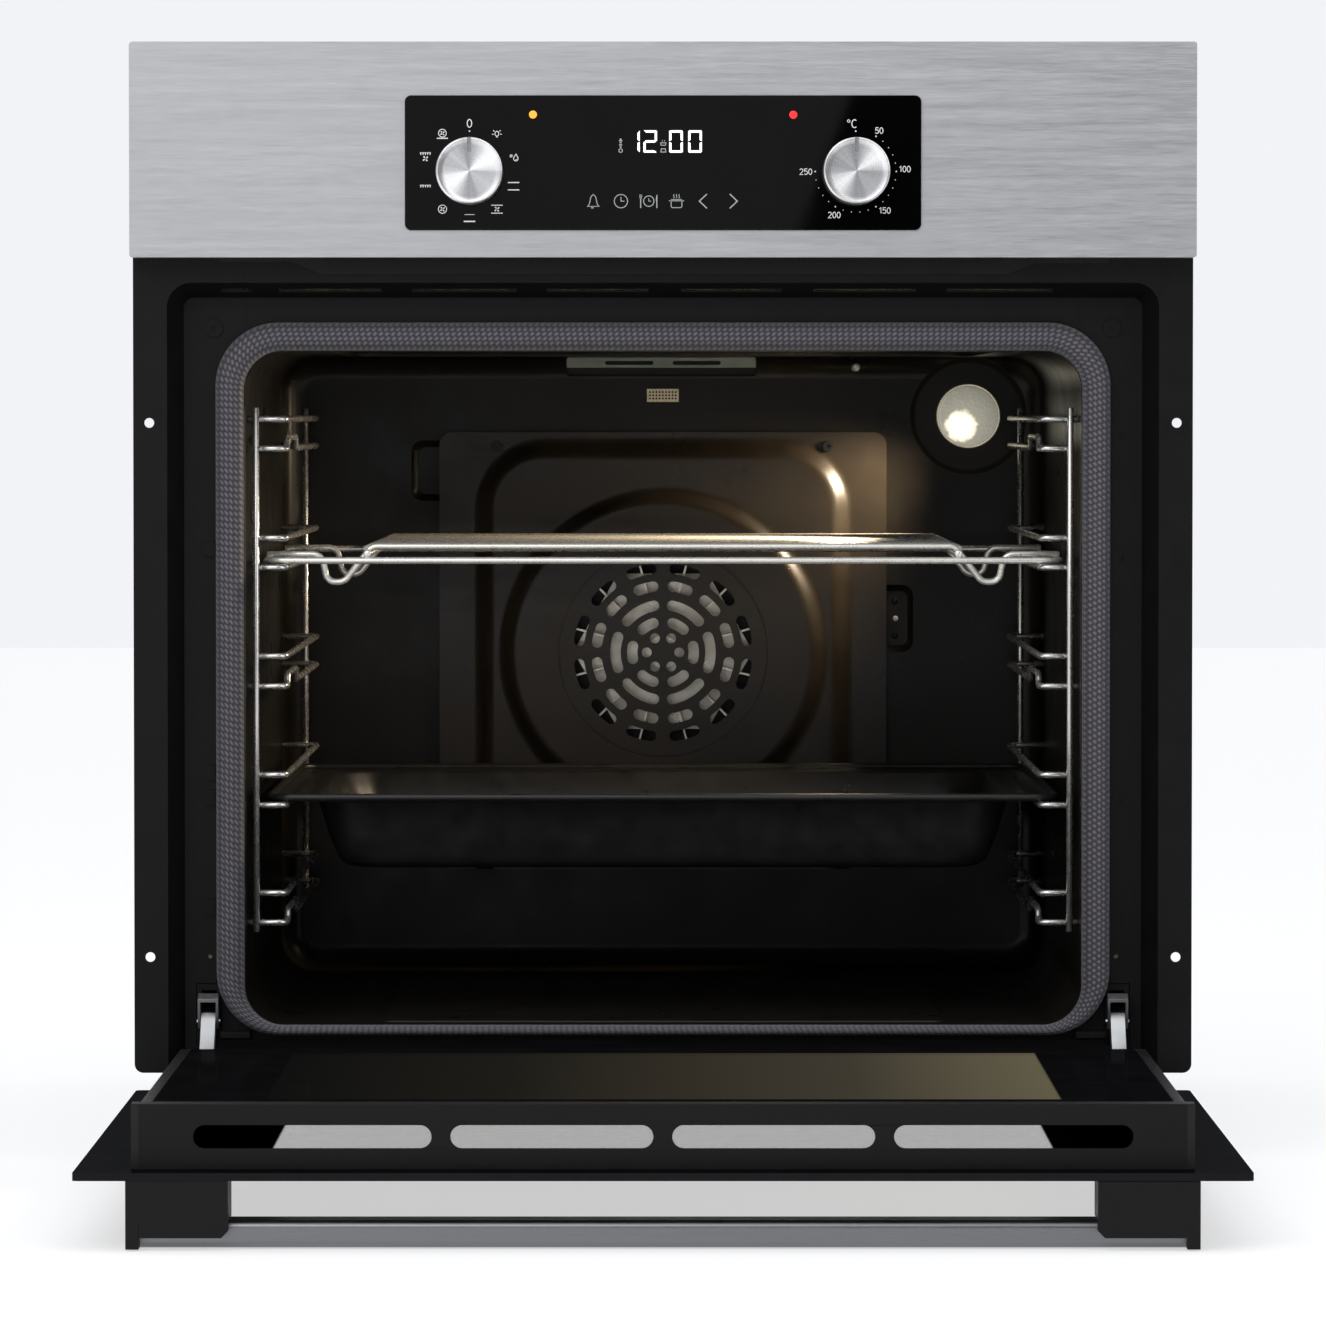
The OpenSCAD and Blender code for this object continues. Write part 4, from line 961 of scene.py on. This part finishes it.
# face first: a shallow dish, a lip, the rounded shoulder, the skirt to the panel, the shaft
KNOB_PROFILE = [(0.6, -24.28), (4, -24.28), (9, -24.3), (14, -24.34), (16.4, -24.4), (17.1, -24.62),
                (17.5, -24.7), (17.95, -24.62), (18.35, -24.3), (18.58, -23.8), (18.62, -22.8), (18.62, -16),
                (18.62, -8), (18.62, -3.2), (18.3, -2.2), (17.6, -1.85), (3.0, -1.85), (3.0, 36)]
KNOB_FACE = -0.0240          # polygons in front of this y belong to the turned face


def own_point(x, t, z):
    """A place in a knob's own frame, in metres."""
    return Vector((x / 1000, t / 1000, z / 1000))


def build_knob(x, body, node_name):
    rings = [[own_point(a, t, b) for a, b in arc(0, 0, radius, 0, 360, 96)[:-1]] for radius, t in KNOB_PROFILE]
    knob = new_object(body + "_metal", *loft(rings, caps=True))
    for look in ("knob", "knob_rim", "pointer"):
        knob.data.materials.append(M[look])
    smooth_shading(knob, 40)
    knob.location = point(x, 0, DIAL_Z)
    knob.data.polygons.foreach_set("material_index", [int(p.center.y >= KNOB_FACE) for p in knob.data.polygons])
    # pointer notch from the rim towards the middle
    low, high = 10.2, 19.5
    rings = []
    for t, half in ((-26.0, 1.15), (-23.75, 1.15 * 0.85)):
        outline = [(-half, high), (half, high)] + arc(0, low + 1.0, half, 0, -180, 9)
        rings.append([own_point(a, t, b) for a, b in outline])
    notch = solid(rings, "notch")
    notch.data.materials.append(M["pointer"])
    notch.location = knob.location
    boolean(knob, [notch], "DIFFERENCE")
    smooth_shading(knob, 35)
    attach(knob, body)
    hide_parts(node_name)


build_knob(-DIAL_X, "left_knob", "function_knob")
build_knob(DIAL_X, "right_knob", "temperature_knob")


# ---------------------------------------------------------------- prints, display, indicators
def ribbon(points, width, closed):
    """The two edges of a line, mitred at its bends."""
    points = [Vector(p) for p in points]
    count = len(points)
    left, right = [], []
    for i, here in enumerate(points):
        ways = []
        if closed or i > 0:
            ways.append((here - points[i - 1]).normalized())
        if closed or i < count - 1:
            ways.append((points[(i + 1) % count] - here).normalized())
        sides = [Vector((-way.y, way.x)) for way in ways]
        side = sides[0] + sides[-1]
        side.normalize()
        reach = width / 2 * min(1.8, 1 / max(0.3, side.dot(sides[0])))
        left.append(here + side * reach)
        right.append(here - side * reach)
    return left, right


class Ink:
    """Collects thin raised prints on a face of constant t."""

    def __init__(self, face, thick=0.05, sink=0.04):
        self.parts = []
        self.depths = (face - thick, face + sink)

    def poly(self, outline):
        self.parts.append(loft([[point(x, t, z) for x, z in outline] for t in self.depths], caps=True))

    def line(self, points, width, at=(0, 0), closed=False):
        left, right = ribbon([(at[0] + x, at[1] + z) for x, z in points], width, closed)
        front, back = self.depths
        rings = [[point(a.x, front, a.y), point(a.x, back, a.y), point(b.x, back, b.y), point(b.x, front, b.y)]
                 for a, b in zip(left, right)]
        self.parts.append(loft(rings, caps=not closed, loop=closed))

    def loop(self, points, width, at):
        self.line(points, width, at, True)

    def circle(self, radius, width, at, sides, rise=0):
        self.loop(arc(0, rise, radius, 0, 360, sides)[:-1], width, at)

    def bar(self, half, z, width, at):
        self.line([(-half, z), (half, z)], width, at)

    def disc(self, x, z, radius, sides=20):
        self.poly(arc(x, z, radius, 0, 360, sides)[:-1])

    def done(self, name, look):
        made = add_piece(name, *joined(self.parts), M[look], "chassis", smooth=False)
        return made


# strokes of the figures in units of their height: (points, closed); and their widths
GLYPH = {
    "0": (arc(0.3, 0.5, 0.28, 90, 450, 20, 0.5)[:-1], True),
    "1": ([(0.08, 0.78), (0.34, 1.0), (0.34, 0.0)], False),
    "2": (arc(0.3, 0.72, 0.27, 165, -25, 10, 0.28) + [(0.03, 0.0), (0.6, 0.0)], False),
    "3": (arc(0.28, 0.75, 0.26, 150, -90, 10, 0.25) + arc(0.28, 0.26, 0.3, 90, -150, 12, 0.26)[1:], False),
    "4": ([(0.45, 0.0), (0.45, 1.0), (0.0, 0.3), (0.62, 0.3)], False),
    "5": ([(0.55, 1.0), (0.1, 1.0), (0.07, 0.56)] + arc(0.28, 0.32, 0.3, 120, -150, 12, 0.32), False),
    "C": (arc(0.36, 0.5, 0.34, 50, 310, 16, 0.5), False),
}
WIDTH = {"0": 0.6, "1": 0.48, "2": 0.62, "3": 0.6, "4": 0.64, "5": 0.6, "C": 0.7}


def word(ink, text, at, height, stroke):
    """A line of figures, centred on a place."""
    gap = 0.17
    total = sum(WIDTH[figure] for figure in text) + gap * (len(text) - 1)
    x, z = at[0] - total * height / 2, at[1] - height / 2
    for figure in text:
        points, closed = GLYPH[figure]
        ink.line([(a * height, b * height) for a, b in points], stroke, (x, z), closed)
        x += (WIDTH[figure] + gap) * height


def fan_mark(ink, at, size, rise=0):
    """Four blades."""
    for k in range(4):
        blade = [polar(share * size, 90 * k + 20 + turn)
                 for share, turn in ((0.12, 0), (0.6, -8), (0.95, 8), (0.9, 34), (0.5, 38))]
        ink.poly([(at[0] + x, at[1] + rise + z) for x, z in blade])


def rays(angles, near, far):
    """Short lines away from a centre: [(start, end), ...]."""
    return [[polar(near, a), polar(far, a)] for a in angles]


PANEL_T = -1.5               # front of the panel glass
STROKE = 0.42                # usual line width of the prints


def left_dial(ink):
    """Ten programme symbols round the left knob."""
    def spot(dx, dz):
        return (-DIAL_X + dx, DIAL_Z + dz)

    word(ink, "0", spot(-0.38, 26.97), 4.4, 0.5)
    ink.disc(*spot(-0.38, 22.62), STROKE)
    lamp = spot(14.91, 20.83)
    ink.line(arc(0, 0.35, 1.05, -50, 230, 14, 1.35), STROKE, lamp)
    ink.bar(0.62, -0.9, STROKE, lamp)
    ink.bar(0.5, -1.5, STROKE, lamp)
    for ray in rays((-8, 42, 138, 188), 1.8, 2.75):
        ink.line(ray, STROKE * 0.9, (lamp[0], lamp[1] + 0.4))
    defrost = spot(24.45, 7.84)
    for ray in rays((0, 60, 120), -0.95, 0.95):
        ink.line(ray, 0.34, (defrost[0] - 1.6, defrost[1] + 1.0))
    ink.loop(arc(1.0, -0.5, 1.25, 150, 390, 16) + [(1.0, 2.0)], STROKE, defrost)
    ink.line(arc(1.0, -0.5, 0.6, 250, 340, 5), 0.3, defrost)
    for dz in (2.05, -2.05):
        ink.bar(3.2, dz, 0.6, spot(24.17, -8.01))
    bars_and_fan = spot(14.91, -20.78)
    for dz in (2.2, -2.2):
        ink.bar(3.2, dz, 0.5, bars_and_fan)
    fan_mark(ink, bars_and_fan, 1.75)
    ink.bar(2.8, 1.9, 0.32, spot(-0.38, -25.69))
    ink.bar(3.2, -1.9, 0.75, spot(-0.38, -25.69))
    ring = spot(-15.44, -20.78)
    ink.circle(2.3, STROKE, ring, 28)
    fan_mark(ink, ring, 1.6)
    ring_and_bar = spot(-15.44, 21.0)
    ink.circle(2.15, STROKE, ring_and_bar, 28, 0.5)
    fan_mark(ink, ring_and_bar, 1.5, 0.5)
    ink.bar(3.1, -2.35, 0.6, ring_and_bar)
    for grill, with_fan in ((spot(-24.92, -7.89), False), (spot(-24.92, 10.21), True)):
        ink.bar(3.1, 0.55, 0.26, grill)
        for k in range(5):
            tooth = grill[0] - 2.6 + 1.3 * k
            ink.poly([(tooth - 0.5, grill[1] + 0.55), (tooth + 0.5, grill[1] + 0.55), (tooth, grill[1] - 1.15)])
        if with_fan:
            fan_mark(ink, grill, 1.85, -2.9)


def right_dial(ink):
    """The temperature scale round the right knob."""
    def spot(dx, dz):
        return (DIAL_X + dx, DIAL_Z + dz)

    sign = spot(-1.69, 26.75)
    ink.loop(arc(-2.3, 1.5, 0.72, 0, 360, 14)[:-1], 0.36, sign)
    word(ink, "C", (sign[0] + 0.9, sign[1]), 4.4, 0.5)
    ink.disc(*spot(-0.07, 22.62), STROKE)
    for turn in range(30, 271, 12):
        dx, dz = polar(22.6, 90 - turn)
        ink.disc(*spot(dx - 0.07, dz + 0.19), 0.42 if turn % 60 == 30 else 0.27, 14)
    for text, dx, dz in (("50", 12.98, 22.95), ("100", 27.26, 1.53), ("150", 16.11, -21.51),
                         ("200", -12.01, -24.02), ("250", -27.85, 0.08)):
        word(ink, text, spot(dx, dz), 3.15, STROKE)


def touch_fields(ink):
    """Six signs in a row under the clock."""
    bell, clock, meal, pot, step_back, step_on = [
        (x, 506.18) for x in (-38.83, -23.43, -7.92, 7.53, 22.37, 39.27)]
    ink.loop([(-3.2, -2.9), (-2.2, -1.6)] + arc(0, 1.0, 1.55, 170, 10, 10, 2.4) + [(2.2, -1.6), (3.2, -2.9)],
             STROKE, bell)
    ink.line([(-1.3, -3.7), (0.2, -3.7)], 0.5, bell)
    ink.line([(0, 3.3), (0, 4.0)], 0.45, bell)
    ink.circle(3.7, 0.45, clock, 36)
    ink.line([(0, 2.3), (0, 0), (1.9, 0)], STROKE, clock)
    ink.circle(2.9, 0.45, meal, 32)
    ink.line([(0, 1.6), (0, 0), (1.3, 0)], 0.36, meal)
    for dx in (-0.55, 0, 0.55):
        ink.line([(-4.5 + dx, 3.7), (-4.5 + dx, 1.8)], 0.26, meal)
    ink.line([(-5.05, 1.7), (-3.95, 1.7)], STROKE, meal)
    ink.line([(-4.5, 1.7), (-4.5, -3.8)], 0.55, meal)
    ink.poly([(meal[0] + x, meal[1] + z) for x, z in (
        (4.2, -3.8), (4.75, -3.8), (4.75, 3.8), (4.3, 3.2), (4.0, 1.6), (4.0, 0.1), (4.2, -0.2))])
    ink.line([(-3.0, 0.2), (-3.0, -3.0), (-2.4, -3.6), (2.4, -3.6), (3.0, -3.0), (3.0, 0.2)], STROKE, pot)
    ink.bar(4.2, 0.2, STROKE, pot)
    ink.line([(-3.0, 0.2), (-2.7, 0.95), (2.7, 0.95), (3.0, 0.2)], 0.34, pot)
    for dx in (-1.5, 0, 1.5):
        ink.line([(dx - 0.15, 1.6), (dx + 0.25, 2.3), (dx - 0.25, 3.1), (dx + 0.2, 3.9)], 0.32, pot)
    for at, s in ((step_back, -1), (step_on, 1)):
        ink.line([(-s * 2.1, 4.0), (s * 2.1, 0), (-s * 2.1, -4.0)], 0.62, at)


def clock_figure(ink, x0, x1, lit):
    """One seven-segment figure; lit names its bars, a to g clockwise from the top."""
    z0, z1, thick, gap = 533.18, 545.57, 1.25, 0.22
    middle, half = (z0 + z1) / 2, thick / 2
    inner0, inner1 = x0 + thick, x1 - thick
    bars = {"g": [(x0 + gap + 0.3, middle), (inner0, middle + half), (inner1, middle + half),
                  (x1 - gap - 0.3, middle), (inner1, middle - half), (inner0, middle - half)]}
    for z, s, flat, left, right in ((z1, -1, "a", "f", "b"), (z0, 1, "d", "e", "c")):
        bars[flat] = [(x0 + gap, z), (x1 - gap, z),
                      (inner1 - gap, z + s * thick), (inner0 + gap, z + s * thick)]
        for upright, outer, inner in ((left, x0, inner0), (right, x1, inner1)):
            bars[upright] = [(outer, z + s * gap), (inner, z + s * (thick + gap)),
                             (inner, middle - s * (half + gap)), (outer, middle - s * gap)]
    for bar in lit:
        ink.poly(bars[bar])


def display_marks(ink):
    """Small marks beside and between the clock's figures."""
    for dz, half in ((3.4, 0.5), (2.6, 0.9), (1.5, 0.55), (0.3, 0.8), (-0.9, 0.55)):
        ink.bar(half, dz, 0.7, (-23.6, 537.2))
    ink.circle(1.0, 0.45, (-23.6, 537.2), 14, -2.9)
    ink.loop([(-1.5, 0.6), (-1.2, -0.8), (1.2, -0.8), (1.5, 0.6)], 0.4, (0.17, 538.04))
    for dx in (-0.7, 0.5):
        ink.line([(dx, 1.3), (dx + 0.3, 2.1)], 0.35, (0.17, 538.04))
    ink.loop([(-1.4, -0.9), (1.4, -0.9), (1.1, 0.9), (-1.1, 0.9)], 0.45, (0.17, 534.41))


dials = Ink(PANEL_T)
left_dial(dials)
right_dial(dials)
dials.done("dial_prints", "print")

fields = Ink(PANEL_T)
touch_fields(fields)
fields.done("touch_prints", "print_dim")

figures = Ink(PANEL_T, 0.04)
for x0, x1, lit in ((-18.24, -12.94, "bc"), (-10.88, -3.35, "abged"), (3.46, 11.05, "abcdef"),
                    (14.06, 21.64, "abcdef")):
    clock_figure(figures, x0, x1, lit)
figures.done("display_figures", "digits")

marks = Ink(PANEL_T, 0.04)
display_marks(marks)
marks.done("display_marks", "print_dim")

for name, x, z, look in (("function_light", -72.41, 554.32, "orange"), ("heating_light", 72.58, 554.21, "red")):
    rings = lathe(x, z, [(0.5, -1.60), (1.4, -1.59), (2.0, -1.56), (2.2, -1.5), (2.2, -1.42)], 28)
    add_piece(name, *loft(rings, caps=True), M[look], "chassis", angle=60)

# raised level figures on the frame's right margin
levels = Ink(45.0, 0.25, 0.1)
for k in range(5):
    word(levels, str(5 - k), (258.8, 374.149 - 67.963 * k), 5.2, 0.75)
bevel(levels.done("level_figures", "frame"), 0.1, 1)


# ---------------------------------------------------------------- stage
def stage_mat(name, colour, glow):
    mat, tree, bsdf, _ = new_material(name)
    grain = noise(tree, coords(tree), 3, 3)
    feed(tree, bsdf, {
        "Base Color": ramp(tree, grain, [(0.3, tint(colour, 0.985)), (0.7, colour)]),
        "Roughness": 0.9,
        "Specular IOR Level": 0.1,
        "Emission Color": (1, 1, 1, 1),
        "Emission Strength": glow})
    return mat


FLOOR_HALF, FLOOR_Z = 9.0, -0.0275
corners = [(-1, -1), (1, -1), (1, 1), (-1, 1)]
floor = add_piece("floor", [(FLOOR_HALF * a, FLOOR_HALF * b, FLOOR_Z) for a, b in corners], [(0, 1, 2, 3)],
                  stage_mat("pale_floor", (0.42, 0.423, 0.43), 0.56), None, smooth=False)
# a black flag beside the camera: it shows only in reflections, as the dark side of the panel
FLAG_Y = -4.7
black_cloth = plain("flag_black_cloth", (0.004, 0.004, 0.004), 0.9, 0.0, 0.2, 40, 0.2, 0.001, 400, 0.0)
flag = add_piece("flag", [(x, FLAG_Y, z) for x, z in ((-0.42, -1.0), (3.6, -1.0), (3.6, 3.0), (1.02, 3.0))],
                 [(0, 1, 2, 3)], black_cloth, None, smooth=False)
flag.visible_camera = False
flag.visible_shadow = False
flag.visible_diffuse = False

world = bpy.data.worlds.new("studio")
SCENE.world = world
world.use_nodes = True
background = world.node_tree.nodes["Background"]
background.inputs["Color"].default_value = (0.955, 0.965, 1.0, 1)
background.inputs["Strength"].default_value = 0.93


# ---------------------------------------------------------------- lights and camera
def add_light(name, kind, place, target, power, colour):
    light = bpy.data.lights.new(name, kind)
    light.energy = power
    light.color = colour
    made = bpy.data.objects.new(name, light)
    SCENE.collection.objects.link(made)
    made.location = place
    made.rotation_euler = (Vector(target) - Vector(place)).to_track_quat("-Z", "Y").to_euler()
    return light


def soft_box(name, place, target, size, power, colour=(1, 1, 1)):
    light = add_light(name, "AREA", place, target, power, colour)
    light.shape = "RECTANGLE"
    light.size = size
    light.size_y = size


def lamp_beam(name, place, target, power, cone):
    """One beam of the oven lamp's light."""
    light = add_light(name, "SPOT", place, target, power, (1.0, 0.80, 0.55))
    light.shadow_soft_size = 0.012
    light.spot_size = math.radians(cone)
    light.spot_blend = 1.0


OVEN_MIDDLE = (0, 0, 0.3)
soft_box("key", (-1.5, -2.4, 2.3), OVEN_MIDDLE, 1.6, 20, (1.0, 0.99, 0.97))
soft_box("fill", (2.2, -2.0, 1.2), OVEN_MIDDLE, 1.4, 9, (0.96, 0.98, 1.0))
soft_box("top", (0.2, -0.4, 2.6), OVEN_MIDDLE, 1.8, 10)
soft_box("mouth", (-0.5, -2.9, 1.75), (0, 0.05, 0.28), 0.8, 7, (1.0, 0.99, 0.97))
# two beams stand for the lamp's light: one rakes the rear wall, one lights the shelf from above
lamp_beam("lamp_beam_wall", point(182, 455, 378), point(0, 478, 255), 3.6, 84)
lamp_beam("lamp_beam_shelf", point(110, 300, 396), point(-10, 255, 300), 4.6, 128)

lens = bpy.data.cameras.new("camera")
lens.lens = 204.87
lens.sensor_width = 36.0
lens.clip_end = 60
camera = bpy.data.objects.new("camera", lens)
SCENE.collection.objects.link(camera)
camera.location = (0, -4.518, 0.3947)
camera.rotation_euler = (math.radians(90 - 1.881), 0, 0)
SCENE.camera = camera
SCENE.view_settings.view_transform = "Standard"
SCENE.view_settings.look = "None"
SCENE.view_settings.exposure = 0.0
SCENE.view_settings.gamma = 1.0
